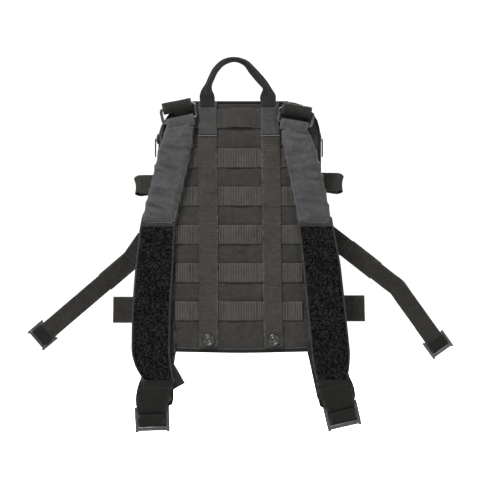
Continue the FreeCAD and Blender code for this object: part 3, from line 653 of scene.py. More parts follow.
dark_thread = hard_material("dark_thread", shade(34, 33, 32), 0.75, shade(70, 68, 66))
tape_cloth = webbing_material("tape_cloth", shade(48, 47, 46), rib=1.0 * MM)
tooth_plastic = hard_material("tooth_plastic", shade(52, 52, 53), 0.35, shade(110, 110, 110))
lining = cloth_material("lining", shade(70, 69, 68), pitch=0.6 * MM, creases=0.3 * MM)
board = hard_material("stiffener_board", shade(88, 86, 82), 0.6, shade(120, 118, 112))
elastic = webbing_material("elastic_band", shade(58, 57, 57), rib=1.1 * MM, hollow_shade=0.7)
pocket_mesh = mesh_material("pocket_mesh", shade(44, 43, 43))

# ---------------------------------------------------------------- sewing


def surface_of(*pieces):
    """A search tree over the pieces' shown surface."""
    points, faces = [], []
    for piece in pieces:
        start = len(points)
        points.extend(v.co.copy() for v in piece.data.vertices)
        faces.extend([start + i for i in polygon.vertices] for polygon in piece.data.polygons)
    return BVHTree.FromPolygons(points, faces)


def dropped(tree, points, directions, reach=60 * MM):
    """Each point moved along its direction onto a surface, where it meets one."""
    found = []
    for point, direction in zip(points, np.broadcast_to(np.array(directions, float), (len(points), 3))):
        heading = Vector(direction)
        hit = tree.ray_cast(Vector(point) - heading * reach, heading, 2 * reach)[0]
        found.append(np.array(hit if hit else point))
    return np.array(found)


# A stitch's rings: place along it, share of its radius, and rise above the cloth in radii.
STITCH_RINGS = ((-0.5, 0.35, -0.6), (-0.32, 1.0, 0.35), (0.32, 1.0, 0.35), (0.5, 0.35, -0.6))
STITCH_SIDES = 5


def capsule(centre, heading, outward, length, radius):
    """Points and faces of one stitch."""
    side = np.cross(heading, outward)
    points = []
    for along, scale, lift in STITCH_RINGS:
        middle = centre + heading * (along * length) + outward * (lift * radius)
        for j in range(STITCH_SIDES):
            turn = 2 * math.pi * j / STITCH_SIDES
            spoke = side * math.cos(turn) + outward * math.sin(turn)
            points.append(middle + spoke * (radius * scale))
    return points, ring_faces(len(STITCH_RINGS), STITCH_SIDES)


def stitch_lines(name, lines, outward, material, body, slot, pitch=3.4 * MM, length=2.5 * MM,
                 radius=0.32 * MM, tree=None):
    """Rows of stitches along lines, lying on a surface when a tree is given."""
    parts = []
    outward = unit(np.array(outward, float))
    for line in lines:
        path = even_path(np.array(line, float), pitch)
        if tree is not None:
            path = dropped(tree, path, -outward)
        for centre, heading in zip(path, headings_along(path)):
            parts.append(capsule(centre, heading, outward, length, radius))
    return assembled(name, parts, material, body, slot)


TACK_WIDTH = 2.0 * MM
TACK_PITCH = 0.95 * MM
TACK_SLANT = 0.25
TACK_THREAD = 0.36 * MM


def bartacks(name, tacks, outward, body, slot):
    """Dense zigzag bars of thread; each tack is a line from one point to another."""
    parts = []
    outward = unit(np.array(outward, float))
    for start, end in tacks:
        start, end = np.array(start, float), np.array(end, float)
        heading = unit(end - start)
        side = np.cross(heading, outward)
        count = int(np.linalg.norm(end - start) / TACK_PITCH)
        for i in range(count):
            centre = start + (end - start) * (i + 0.5) / count
            slant = unit(side + heading * (TACK_SLANT if i % 2 else -TACK_SLANT))
            parts.append(capsule(centre, slant, outward, TACK_WIDTH, TACK_THREAD))
    return assembled(name, parts, dark_thread, body, slot)


# ---------------------------------------------------------------- cloth simulation


def evaluated_mesh(piece):
    """Put the mesh that the piece's modifiers make in place of its own."""
    graph = bpy.context.evaluated_depsgraph_get()
    mesh = bpy.data.meshes.new_from_object(piece.evaluated_get(graph))
    piece.modifiers.clear()
    piece.data = mesh


def points_of(piece):
    """A piece's vertices."""
    points = np.zeros(len(piece.data.vertices) * 3)
    piece.data.vertices.foreach_get("co", points)
    return points.reshape(-1, 3)


def normals_of(piece):
    """The normals at a piece's vertices."""
    normals = np.zeros(len(piece.data.vertices) * 3)
    piece.data.vertices.foreach_get("normal", normals)
    return normals.reshape(-1, 3)


def set_points(piece, points):
    """Move a piece's vertices to these points."""
    piece.data.vertices.foreach_set("co", points.ravel())
    piece.data.update()


def remeshed(piece, voxel):
    """An even net of quads over the piece."""
    change = piece.modifiers.new("voxels", "REMESH")
    change.mode = "VOXEL"
    change.voxel_size = voxel
    evaluated_mesh(piece)
    even = piece.modifiers.new("even", "SMOOTH")
    even.factor = 0.5
    even.iterations = 2
    evaluated_mesh(piece)


def inflated(jobs, last_frame=20):
    """Blow the pieces up as closed cloth; a job is (piece, pressure, how far each point may go)."""
    scene = bpy.context.scene
    rest = []
    for piece, pressure, reach in jobs:
        rest.append((points_of(piece), normals_of(piece)))
        cloth = piece.modifiers.new("cloth", "CLOTH")
        cloth.settings.quality = 6
        cloth.settings.mass = 0.25
        cloth.settings.tension_stiffness = 18
        cloth.settings.compression_stiffness = 8
        cloth.settings.bending_stiffness = 0.6
        cloth.settings.use_pressure = True
        cloth.settings.uniform_pressure_force = pressure
        cloth.settings.effector_weights.gravity = 0
        cloth.point_cache.frame_start = 1
        cloth.point_cache.frame_end = last_frame
    for number in range(1, last_frame + 1):
        scene.frame_set(number)
    for (piece, pressure, reach), (before, normals) in zip(jobs, rest):
        evaluated_mesh(piece)
        rise = ((points_of(piece) - before) * normals).sum(1)
        limit = np.array([reach(point) for point in before])
        set_points(piece, before + normals * np.clip(rise, -limit / 3, limit)[:, None])
    scene.frame_set(1)


def subdivided(piece):
    """One step of smooth subdivision."""
    change = piece.modifiers.new("finer", "SUBSURF")
    change.levels = change.render_levels = 1
    evaluated_mesh(piece)


def box_weave(piece):
    """Write the weave attribute from the points' place, by the way each face looks."""
    mesh = piece.data
    if "weave" in mesh.attributes:
        mesh.attributes.remove(mesh.attributes["weave"])
    layer = mesh.attributes.new("weave", "FLOAT_VECTOR", "CORNER")
    values = np.zeros((len(mesh.loops), 3), np.float32)
    points = points_of(piece)
    choices = {0: (1, 2), 1: (0, 2), 2: (0, 1)}
    for polygon in mesh.polygons:
        first, second = choices[int(np.argmax(np.abs(polygon.normal)))]
        for loop in polygon.loop_indices:
            point = points[mesh.loops[loop].vertex_index]
            values[loop] = point[first], point[second], 0.0
    layer.data.foreach_set("vector", values.ravel())
    mesh.polygons.foreach_set("use_smooth", [True] * len(mesh.polygons))


def creased(piece, height, scale, stretch=(1, 1, 1), seed=0, mask=None):
    """Push a fabric's points in and out by soft noise along their normals."""
    points = points_of(piece)
    normals = normals_of(piece)
    for i, point in enumerate(points):
        where = Vector(point / scale * np.array(stretch)) + Vector((seed * 5.7, seed * 2.3, seed * 9.1))
        lift = noise.noise(where) + 0.4 * noise.noise(where * 2.3)
        points[i] = point + normals[i] * (lift * height * (mask(point) if mask else 1.0))
    set_points(piece, points)


# ---------------------------------------------------------------- pack shell

SEAM_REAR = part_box("rear_gusset")[1][1]
SEAM_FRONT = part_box("front_gusset")[0][1]
FRONT_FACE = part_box("front_panel")[1][1]
ROW_NODES = [f"back_pals_row_{number}" for number in range(1, 7)]
ROW_SPANS = [(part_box(node)[0][2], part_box(node)[1][2]) for node in ROW_NODES]


RING_STEP = 5 * MM
FINE_STEP = 2 * MM
HANG_START = 6 * MM
HANG_FADE = 36 * MM


def closed_box(name, rings, material):
    """A closed soft box: (depth, inset in mm) rings of the pack's outline, and two flat ends."""
    points = []
    for depth, inset in rings:
        hang = 1 - ease((depth - HANG_START) / HANG_FADE)
        if points:
            line = even_count(outline(-inset * MM, FINE_STEP, hang), size)
        else:
            line = outline(-inset * MM, RING_STEP, hang)
            size = len(line)
        points.extend((x, depth, z) for x, z in line)
    return new_piece(name, points, ring_faces(len(rings), size), material)


def even_count(line, count):
    """A closed line with a set number of even points."""
    closed = np.vstack((line, line[:1]))
    along = distances(closed)
    return read_at(closed, along, np.linspace(0, along[-1], count, endpoint=False))


def inside_distance(x, z):
    """How far a point is inside the pack's outline."""
    return min(PANEL_WIDTH / 2 - abs(x), z, PANEL_HEIGHT - z)


def opened(piece, depth, keep_above, wall):
    """Cut a shell open at a depth, and give what is left a wall."""
    shape = bmesh.new()
    shape.from_mesh(piece.data)
    bmesh.ops.bisect_plane(
        shape,
        geom=shape.verts[:] + shape.edges[:] + shape.faces[:],
        plane_co=(0, depth, 0),
        plane_no=(0, 1, 0),
        clear_outer=not keep_above,
        clear_inner=keep_above,
    )
    shape.to_mesh(piece.data)
    shape.free()
    thicken = piece.modifiers.new("wall", "SOLIDIFY")
    thicken.thickness = wall
    thicken.offset = -1
    thicken.use_even_offset = False
    evaluated_mesh(piece)


def base_share(point):
    """The pack's base swells less, so that the open lid can lie under it."""
    return 0.2 + 0.8 * ease(point[2] / (30 * MM))


def rear_reach(point):
    """The harness face and the zipper seam stay put; the gusset may swell."""
    face = ease((point[1] - 4 * MM) / (14 * MM))
    seam = ease((SEAM_REAR - point[1]) / (16 * MM))
    return 5 * MM * face * seam * base_share(point) + 1e-5


def front_reach(point):
    """The front may swell most in its middle, and the zipper seam stays put."""
    seam = ease((point[1] - SEAM_FRONT) / (16 * MM))
    middle = ease((inside_distance(point[0], point[2]) + 2 * MM) / (40 * MM))
    return (2.5 + 4.5 * middle) * MM * seam * base_share(point) + 1e-5


def make_shells():
    """The two halves of the pack: simulated pillows, cut open at the zipper."""
    overlap = 12 * MM
    rear = closed_box(
        "rear_shell",
        ((0.3 * MM, 7), (0.3 * MM, 2.5), (0.5 * MM, 0), (4 * MM, -0.4), (12 * MM, 0.2),
         (30 * MM, 0.2), (50 * MM, 0.2), (SEAM_REAR, 0.2), (SEAM_REAR + overlap, 0.2)),
        pack_cloth,
    )
    front = closed_box(
        "front_shell",
        ((SEAM_FRONT - overlap, 0.2), (SEAM_FRONT, 0.2), (80 * MM, 0.2), (98 * MM, 0.2),
         (FRONT_FACE - 4 * MM, -0.4), (FRONT_FACE - 0.4 * MM, 0), (FRONT_FACE, 2.5), (FRONT_FACE, 5)),
        pack_cloth,
    )
    for shell in (rear, front):
        remeshed(shell, 5 * MM)
    return rear, front


PRESS_WIDTH = 100 * MM
PRESS_FOOT = 190 * MM
PRESS_RISE = 90 * MM


def pressed_in(x, y, z):
    """The upper left edge of the harness face is drawn in under its strap."""
    beside = ease(-x / PRESS_WIDTH) * ease((z - PRESS_FOOT) / PRESS_RISE)
    return LEFT_PRESS * (x < 0) * beside * (1 - ease(y / SEAM_REAR))


def over_row(z, reach, fade):
    """How fully a height lies on a webbing row: 1 on a row, 0 when farther away than reach."""
    return max(ease((min(z - low, high - z) + reach) / fade) for low, high in ROW_SPANS)


def puffed_panel(piece):
    """Between its rows of webbing the harness face stands a little proud."""
    points = points_of(piece)
    points[:, 0] += pressed_in(points[:, 0], points[:, 1], points[:, 2])
    for i, (x, y, z) in enumerate(points):
        if y > 3 * MM or inside_distance(x, z) < 5 * MM:
            continue
        inner = ease((inside_distance(x, z) - 5 * MM) / (12 * MM))
        wander = noise.noise(Vector((x / (18 * MM), z / (9 * MM), 4.2)))
        puff = (1.5 + 1.5 * wander) * MM * (1 - over_row(z, 3 * MM, 3 * MM)) * inner
        points[i, 1] = 0.35 * MM - puff
    set_points(piece, points)


# ---------------------------------------------------------------- shoulder pads

PAD_THICK = 6.6 * MM
FOLD_SLOPE = 16  # degrees
HEAD_HALF = 19.5 * MM
STRAP_OVERLAP = 12 * MM


def strap_edges(side):
    """The shoulder pad's two long edges, from the ring down to its hem."""
    node = f"{side}_shoulder_pad"
    head = Local(f"{side}_strap_swing")
    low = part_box(node)[0][2]
    left, right = [head.at(-HEAD_HALF, 0, -3 * MM)], [head.at(HEAD_HALF, 0, -3 * MM)]
    top = min(left[0][2], right[0][2]) - 8 * MM
    for height in np.linspace(top, low + 0.2 * MM, 24):
        x_left, x_right = edges_at(node, height)
        left.append(np.array((x_left, head.origin[1], height)))
        right.append(np.array((x_right, head.origin[1], height)))
    return even_path(np.array(left), 2 * MM), even_path(np.array(right), 2 * MM)


def grid_between(left, right, rows, columns, edge_in=0.0):
    """A net of points between two edges; edge_in pulls the long edges together."""
    wanted = np.linspace(0, 1, rows)
    left, right = (read_at(line, np.linspace(0, 1, len(line)), wanted) for line in (left, right))
    share = np.linspace(0, 1, columns)[None, :, None]
    net = left[:, None] * (1 - share) + right[:, None] * share
    if edge_in:
        width = np.linalg.norm(right - left, axis=1)[:, None, None]
        net += (right - left)[:, None] / width * (0.5 - share) * 2 * edge_in
    return net


def make_pad_start(side):
    """The padded strap before it is inflated: a thin crowned slab."""
    left, right = strap_edges(side)
    rows, columns = 80, 22
    net = grid_between(left, right, rows, columns, edge_in=-1.5 * MM)
    u = np.linspace(-1, 1, columns)[None, :]
    v = np.linspace(-1, 1, rows)[:, None]
    crown = np.sqrt(np.clip(1 - abs(u) ** 5, 0, 1)) * np.sqrt(np.clip(1 - abs(v) ** 24, 0, 1))
    front, back = net.copy(), net.copy()
    half = PAD_THICK / 2 * np.maximum(crown, 0.2)
    front[:, :, 1] -= half
    back[:, :, 1] += half
    piece = slab(f"{side}_padded_strap", front, back, pad_cloth)
    remeshed(piece, 4 * MM)
    return piece


def pad_reach(_):
    """A pad may swell as far everywhere."""
    return 2.2 * MM


def folded_over(piece, height, seed, mask):
    """Soft ridges that run down across a strap, as where it has been folded."""
    slope = math.radians(FOLD_SLOPE)
    points, normals = points_of(piece), normals_of(piece)
    for i, point in enumerate(points):
        along = point[0] * math.cos(slope) - point[2] * math.sin(slope)
        over = point[0] * math.sin(slope) + point[2] * math.cos(slope)
        value = noise.noise(Vector((along / (34 * MM), over / (11 * MM), seed * 4.3)))
        broad = noise.noise(Vector((along / (60 * MM), over / (30 * MM), seed * 1.9)))
        ridge = 0.55 - 2.1 * abs(value) + 0.5 * broad
        facing = abs(normals[i][1]) ** 2
        points[i] += normals[i] * (ridge * height * 0.5 * facing * mask(point))
    set_points(piece, points)


# A pad's folded head round its ring's bar: (depth, up) in millimetres.
PAD_WRAP = ((-2.4, -10), (-4.1, -4), (-4.4, 0.5), (-2.9, 3.6), (0.2, 4.6), (3.1, 3.4), (4.4, 0), (4.2, -4),
            (3.4, -8))


def finish_pad(side, piece, sign):
    """Creases, seams and the folded head of a shoulder pad."""
    subdivided(piece)
    low, high = points_of(piece).min(0), points_of(piece).max(0)

    def crease_mask(point):
        upper = ease((high[2] - point[2]) / (20 * MM)) * ease((point[2] - low[2]) / (30 * MM))
        return 0.35 + 0.65 * upper

    folded_over(piece, 6.5 * MM, 3 + sign, crease_mask)
    creased(piece, 0.25 * MM, 8 * MM, (0.7, 1, 1.4), seed=9 + sign)
    body = f"{side}_shoulder_strap"
    tree = surface_of(piece)
    box_weave(piece)
    settle(piece, body, "pad_cloth", f"{side}_shoulder_pad")
    left, right = strap_edges(side)
    net = grid_between(left, right, 70, 3, edge_in=2.8 * MM)
    hem_line = np.linspace(net[-3][0], net[-3][-1], 12)
    head_line = np.linspace(net[3][0], net[3][-1], 12)
    stitch_lines(f"{side}_pad_stitching", [net[2:-2, 0], net[2:-2, -1], hem_line, head_line],
                 TO_WEARER, pale_thread, body, "pad_cloth", tree=tree, radius=0.42 * MM)
    hem_cord = dropped(tree, np.linspace(net[-1][0], net[-1][-1], 14) + UP * 0.6 * MM, TO_FRONT)
    hem_cord[:, 1] = np.maximum(hem_cord[:, 1], low[1]) + 0.4 * MM
    edge_path = even_path(hem_cord, 2 * MM)
    settle(ribbon(f"{side}_pad_hem", edge_path, UP, 1.6 * MM, 1.4 * MM, pad_cloth), body, "pad_cloth")
    bar_frame = Local(f"{side}_strap_swing")
    path = smooth_path([bar_frame.mm(0, depth, up) for depth, up in PAD_WRAP], 1.5 * MM)
    fold = ribbon(f"{side}_pad_fold", path, bar_frame.across, HEAD_HALF - 1.0 * MM, 1.5 * MM, pad_cloth,
                  ripple=0.4 * MM, seed=sign)
    settle(fold, body, "pad_cloth")


def softened(values, reach):
    """A list of numbers smoothed over its neighbours, ends kept."""
    padded = np.concatenate((np.full(reach, values[0]), values, np.full(reach, values[-1])))
    return np.convolve(padded, np.ones(2 * reach + 1) / (2 * reach + 1), "valid")


PILE_GRAIN = 1.9 * MM


def make_loop_field(side, sign):
    """The strap's lower part: a thin pad with bound edges, faced with loop pile."""
    node, body = f"{side}_loop_field", f"{side}_shoulder_strap"
    low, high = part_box(node)
    heights = np.linspace(high[2] + STRAP_OVERLAP, low[2] + 0.1 * MM, 136)
    pad = f"{side}_shoulder_pad"
    spans = np.array([edges_at(pad if height > high[2] - 0.1 * MM else node, height) for height in heights])
    spans = np.stack((softened(spans[:, 0], 4), softened(spans[:, 1], 4)), 1)
    middle = (low[1] + high[1]) / 2
    columns = 40

    def field(name, top, inset, front_y, back_y, material, rough):
        u = np.linspace(-1, 1, columns)
        shown = heights <= top
        front = np.zeros((shown.sum(), columns, 3))
        back = front.copy()
        for i, height in enumerate(heights[shown]):
            left, right = spans[shown][i]
            centre = (left + right) / 2
            half = (right - left) / 2 - inset
            end = max(0, min(top - height, height - heights[-1]))
            for j in range(columns):
                crown = crowned(min(half * (1 - abs(u[j])), end), 2.2 * MM, 0.06)
                x = centre + half * u[j]
                push = 0.0
                if rough:
                    where = Vector((x / PILE_GRAIN, height / PILE_GRAIN, sign * 3.3))
                    push = (noise.noise(where) * 0.7 + noise.noise(where * 2.1) * 0.4) * rough
                sway = noise.noise(Vector((x / (40 * MM), height / (30 * MM), sign * 8.1))) * 0.8 * MM
                front[i, j] = x, middle + sway + (front_y - push) * crown, height
                back[i, j] = x, middle + sway + back_y * crown, height
        return slab(name, front, back, material)

    backing = field(f"{side}_lower_strap", heights[0], 0.0, -1.6 * MM, 2.3 * MM, strap_cloth, 0.0)
    settle(backing, body, "pad_cloth", node)
    facing = field(f"{side}_pile_facing", high[2], 1.9 * MM, -2.5 * MM, 0.4 * MM, pile, 0.55 * MM)
    settle(facing, body, "loop_pile")


# ---------------------------------------------------------------- locks and strap ends


LOCK_MID_DROP = 16.5 * MM
DOUBLED_LENGTH = 44 * MM
SMALL_LOCK_MID_DROP = 11.2 * MM


WIDE_LOCK_WIDTH = 46 * MM


def lock_shape(local, width, height, thick, mid_drop, top_bar, lip):
    """A three-bar ladder lock in its joint's frame, top bar at the origin."""
    half = width / 2
    top, bottom = top_bar / 2, top_bar / 2 - height
    rail = 2.3 * MM * width / WIDE_LOCK_WIDTH + 0.3 * MM

    def crossbar(reach, depth, up, radius_a, radius_b, **shape):
        ends = local.at(-reach, depth, up), local.at(reach, depth, up)
        return bar(*ends, radius_a, radius_b, TO_FRONT, **shape)

    parts = []
    for sign in (-1, 1):
        x, ear = sign * (half - rail), sign * (half - rail * 0.9)
        middle = local.at(x, -0.5 * MM, (top + bottom) / 2)
        path = smooth_path([local.at(x, 0, top), middle, local.at(x, 0.2 * MM, bottom)], 2 * MM)
        parts.append(tube(path, rail, thick / 2, local.across, power=3.5, sides=16, ends=(0.75, 0.93)))
        lower = [local.at(ear, -0.6 * MM, bottom + rise) for rise in (1.5 * MM, -1.6 * MM)]
        parts.append(bar(*lower, rail * 0.85, thick * 0.42, local.across))
        root = local.at(ear, -0.4 * MM, top - 2 * MM)
        tip = local.at(ear + sign * 0.6 * MM, -0.4 * MM, top + 1.0 * MM)
        parts.append(bar(root, tip, rail * 0.8, thick * 0.36, local.across))
    reach, low = half - rail, bottom + lip / 2
    parts.append(crossbar(reach, 0, 0, thick * 0.4, top_bar / 2))
    parts.append(crossbar(reach, 0.4 * MM, top - mid_drop, thick * 0.4, 2.4 * MM))
    parts.append(crossbar(reach, -0.6 * MM, low, thick * 0.52, lip / 2))
    for index in (-1, 0, 1):
        parts.append(crossbar(reach * 0.86, -0.6 * MM - thick * 0.5, low + index * lip * 0.3, 0.45 * MM,
                              0.4 * MM, power=2.0, sides=8))
    return merged(parts)


def local_size(node, local):
    """A node's extent across and up in a joint's frame, and its thickness."""
    points = node_points(node) - local.origin
    across, up, depth = points @ local.across, points @ local.up, points[:, 1]
    return np.ptp(across), np.ptp(up), np.ptp(depth)


def make_lock(name, body, node, local, top_bar, mid_drop, lip):
    """A ladder lock in place of a CAD node, as big as the node."""
    width, height, thick = local_size(node, local)
    points, faces = lock_shape(local, width, height, thick, mid_drop, top_bar, lip)
    settle(new_piece(name, points, faces, plastic), body, "moulded_plastic", node)


def wrap_round(local, middle, depth, low_rise, rear_rise):
    """A closed line round a lock's middle bar, higher at its rear than at its front."""
    line = []
    for turn in np.linspace(0, 2 * math.pi, 28, endpoint=False):
        c, s = math.cos(turn), math.sin(turn)
        rise = low_rise + (rear_rise - low_rise) * ease(1.6 * c + 0.2) * (s > 0)
        line.append(local.at(0, signed_power(c, 0.8) * depth, middle + signed_power(s, 0.85) * rise))
    return line


def make_strap_end(side, sign):
    """The wide webbing below the loop field, folded round the lock's top bar, and the lock."""
    body = f"{side}_shoulder_strap"
    local = Local(f"{side}_lock_turn")
    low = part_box(f"{side}_loop_field")[0]
    start_x = sum(edges_at(f"{side}_loop_field", low[2] + 1 * MM)) / 2
    start = np.array((start_x, local.origin[1], low[2] + 6 * MM))
    reach = local.origin - start
    front = [
        start + TO_FRONT * -0.6 * MM,
        start + reach * 0.3 + TO_FRONT * -1.6 * MM + RIGHT * -1.2 * sign * MM,
        start + reach * 0.62 + TO_FRONT * -3.6 * MM,
        local.mm(0, -4.6, 3.2),
        local.mm(0, -4.4, -0.8),
        local.mm(0, -1.8, -3.9),
        local.mm(0, 1.8, -3.9),
        local.mm(0, 4.3, -0.6),
        local.mm(0, 4.3, 4),
        start + reach * 0.55 + TO_FRONT * 2.0 * MM,
        start + TO_FRONT * 0.8 * MM,
    ]
    path = smooth_path(front, 1.6 * MM)
    steps = np.linspace(0, 1, len(path))
    narrow = ease((0.16 - abs(steps - 0.52)) / 0.06)
    start_share = 1 - ease(steps / 0.14)
    uneven = 1.0 * MM * np.sin(steps * 11 * math.pi) * (1 - narrow)
    half = (21.6 - 2.6 * narrow - 1.8 * start_share) * MM + uneven
    lean = ease(steps / 0.4) * (1 - ease((steps - 0.6) / 0.4))
    across = RIGHT * (1 - lean)[:, None] + local.across * lean[:, None]
    piece = ribbon(f"{side}_end_webbing", path, across, half, 1.7 * MM, end_webbing, ripple=0.8 * MM,
                   seed=2 + sign)
    settle(piece, body, "webbing", f"{side}_strap_end")
    shift = -1.5 if sign > 0 else 2.5
    back = [
        start + TO_FRONT * 1.6 * MM,
        start + reach * 0.5 + TO_FRONT * 2.6 * MM,
        local.mm(shift, 6.2, 6),
        local.mm(shift, 7.2, 1),
        local.mm(shift, 7.6, -2.5),
    ]
    path = smooth_path(back, 1.6 * MM)
    steps = np.linspace(0, 1, len(path))
    half = (20.5 + 4.5 * np.sin(steps * math.pi * 0.8)) * MM
    half *= 1 - 0.35 * ease((steps - 0.86) / 0.14)
    rear = ribbon(f"{side}_end_rear_layer", path, local.across, half, 1.5 * MM, end_webbing,
                  ripple=0.6 * MM, seed=5 + sign)
    settle(rear, body, "webbing")
    seam = cross_line(start + reach * 0.36, local.across, 17 * MM) - TO_FRONT * 2 * MM
    stitch_lines(f"{side}_end_stitching", [seam], TO_WEARER, dark_thread, body, "webbing",
                 tree=surface_of(piece))
    lock = f"{side}_lock"
    make_lock(f"{side}_wide_lock", lock, f"{side}_ladder_lock", local, 4 * MM, LOCK_MID_DROP, 6.2 * MM)
    wrap = wrap_round(local, 2 * MM - LOCK_MID_DROP, 4.1 * MM, 8.2 * MM, 9.8 * MM)
    # painted shade: the webbing round the middle bar is drawn in the darkest webbing colour for the shade
    # inside the lock
    tail = ribbon(f"{side}_lock_webbing", wrap, local.across, 18.1 * MM, 1.5 * MM, end_webbing, closed=True)
    settle(tail, lock, "webbing", f"{side}_webbing_tail")


# ---------------------------------------------------------------- harness side of the pack

TACK_COLUMNS = (-63 * MM, -22 * MM, 22 * MM, 63 * MM)


def make_rows():
    """Webbing rows: sewn down at the tack columns, a little slack between them."""
    tacks = []
    for index, node in enumerate(ROW_NODES):
        low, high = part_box(node)
        height = (low[2] + high[2]) / 2
        xs = np.linspace(low[0], high[0], 240)
        slack = np.zeros(len(xs))
        for a, b in zip((low[0],) + TACK_COLUMNS, TACK_COLUMNS + (high[0],)):
            middle = a < 0 < b
            inside = (xs >= a) & (xs <= b)
            rise = (2.4 if index == 0 else 1.1) * MM if middle else 0.25 * MM
            slack[inside] = rise * np.sin((xs[inside] - a) / (b - a) * math.pi) ** 0.8
        centres = np.stack((xs, -WEBBING_THICK / 2 - slack, np.full(len(xs), height)), 1)
        if index == 0:
            centres[:, 2] += 1.5 * MM + slack * 0.6
        cloth = row_webbing if index else webbing
        row = ribbon(f"back_row_{index + 1}", centres, UP, WEBBING_HALF, WEBBING_THICK, cloth,
                     ripple=0.35 * MM, seed=index, rib=ROW_RIB)
        settle(row, "pack", "webbing", node)
        columns = TACK_COLUMNS if index else TACK_COLUMNS[1:3]
        for x in columns:
            for shift in (-2.2 * MM, 2.2 * MM):
                foot = np.array((x + shift, -WEBBING_THICK, height - WEBBING_HALF * 0.95))
                tacks.append((foot, foot + UP * WEBBING_HALF * 1.9))
    bartacks("back_row_tacks", tacks, TO_WEARER, "pack", "webbing")


def lathe(name, centre, profile, material, count=32):
    """A turned piece whose axis points towards the wearer; profile is (radius, rise)."""
    points = []
    for radius, rise in profile:
        for j in range(count):
            turn = 2 * math.pi * j / count
            x, z = centre[0] + radius * math.cos(turn), centre[2] + radius * math.sin(turn)
            points.append((x, centre[1] - rise, z))
    return new_piece(name, points, ring_faces(len(profile), count), material)


# Turned pieces: (radius, rise) in millimetres.
CAP_PROFILE = ((7.2, 0), (8.0, 0.2), (8.0, 1.2), (7.5, 2.0), (6.6, 2.4), (5.6, 2.25), (5.3, 1.7),
               (4.2, 1.6), (3.8, 2.2), (2.9, 2.5), (2.4, 2.2), (2.0, 1.3), (0.4, 1.2))
STUD_PROFILE = ((4.6, 0), (5.0, 0.3), (5.0, 1.0), (4.2, 1.5), (2.6, 1.7), (2.3, 1.0), (0.4, 0.9))


def scaled(profile):
    """A profile's millimetres in metres."""
    return [(radius * MM, rise * MM) for radius, rise in profile]


def make_long_strap(side, sign, local):
    """A long strap over the rows, sewn to the pack at its top, with its snap cap."""
    node, body = f"{side}_attachment_strap", f"{side}_attachment"
    length = local_size(node, local)[1]
    drops = np.linspace(-6 * MM, length, 420)
    centres = np.array([local.origin - local.up * drop for drop in drops])
    under = np.array([over_row(z, 6 * MM, 8 * MM) for z in centres[:, 2]])
    centres[:, 1] = box_middle(node)[1] + 0.75 * MM * (1 - under) - 0.3 * MM
    centres[:, 0] += np.sin(drops / (55 * MM) + sign) * 0.5 * MM
    strap = ribbon(f"{side}_long_strap", centres, local.across, WEBBING_HALF, 1.4 * MM, edge_webbing,
                   ripple=0.5 * MM, seed=6 + sign, rib=STRAP_RIB, worn=-sign)
    bridged(strap, "webbing", "pack", body, local.origin + local.up * 1 * MM,
            local.origin - local.up * 14 * MM, node)
    make_cap(side)
    end = local.origin - local.up * (length - 2.6 * MM)
    stitch_lines(f"{side}_long_strap_stitching", [cross_line(end, local.across, SEAM_HALF)], TO_WEARER,
                 dark_thread, body, "webbing", tree=surface_of(strap))


def make_cap(side):
    """The snap cap on a long strap."""
    node = f"{side}_snap_cap"
    middle = box_middle(node)
    centre = (middle[0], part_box(node)[1][1] + 0.2 * MM, middle[2])
    cap = lathe(f"{side}_cap", centre, scaled(CAP_PROFILE), cap_metal)
    settle(cap, f"{side}_attachment", "coated_metal", node)


def make_top_patch(side, sign):
    """The smooth patch over a foot of the handle and the top of a long strap."""
    low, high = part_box(f"{side}_handle_anchor")
    xs = np.linspace(low[0], high[0], 22)
    zs = np.linspace(high[2] + 0.6 * MM, low[2] - 0.4 * MM, 40)

    def surfaces(z, x):
        crown = crowned(min(x - low[0], high[0] - x, z - zs[-1], zs[0] - z), 2.4 * MM, 0.1)
        dent = noise.noise(Vector((x / (13 * MM), z / (10 * MM), sign * 2.7))) * 0.7 * MM
        return (x, high[1] - (high[1] - low[1] + 0.5 * MM + dent) * crown, z), (x, high[1] - 0.1 * MM, z)

    patch = grid_slab(f"{side}_top_patch", zs, xs, surfaces, patch_cloth)
    settle(patch, "pack", "pack_cloth", f"{side}_handle_anchor")
    inset = 2.4 * MM
    left, right, head, foot = low[0] + inset, high[0] - inset, zs[0] - inset, zs[-1] + inset
    frame_line = [(left, 0, head), (left, 0, foot), (right, 0, foot), (right, 0, head)]
    stitch_lines(f"{side}_patch_stitching", [frame_line], TO_WEARER, thread, "pack", "pack_cloth",
                 tree=surface_of(patch), radius=FINE_THREAD)


def make_attachment(side, sign):
    """A long strap, the patch over its top, and a row of pale threads below the patch that paints the
    highlight on the strap's bend.
    """
    local = Local(f"{side}_attachment_lift")
    make_long_strap(side, sign, local)
    make_top_patch(side, sign)
    # painted highlight: pale threads where the strap's bend catches the light just below the patch
    bend_highlight_line = cross_line(local.origin, local.across, 12 * MM, 10)
    bend_highlight_line[:, 1] = box_middle(f"{side}_attachment_strap")[1] - 0.9 * MM
    bend_highlight_line[:, 2] -= 0.6 * MM
    stitch_lines(f"{side}_bend_highlight_threads", [bend_highlight_line], TO_WEARER, pale_thread, "pack", "webbing",
                 pitch=1.2 * MM, length=1.7 * MM, radius=0.5 * MM)


def make_studs():
    """Two turned snap studs on the back panel."""
    points = node_points("snap_studs")
    parts = []
    for sign in (-1, 1):
        own = points[points[:, 0] * sign > 0]
        middle = (own.min(0) + own.max(0)) / 2
        stud = lathe("stud", (middle[0], 0.1 * MM, middle[2]), scaled(STUD_PROFILE), coated)
        parts.append((points_of(stud), [list(p.vertices) for p in stud.data.polygons]))
        bpy.data.objects.remove(stud)
    assembled("studs", parts, coated, "pack", "coated_metal", "snap_studs")


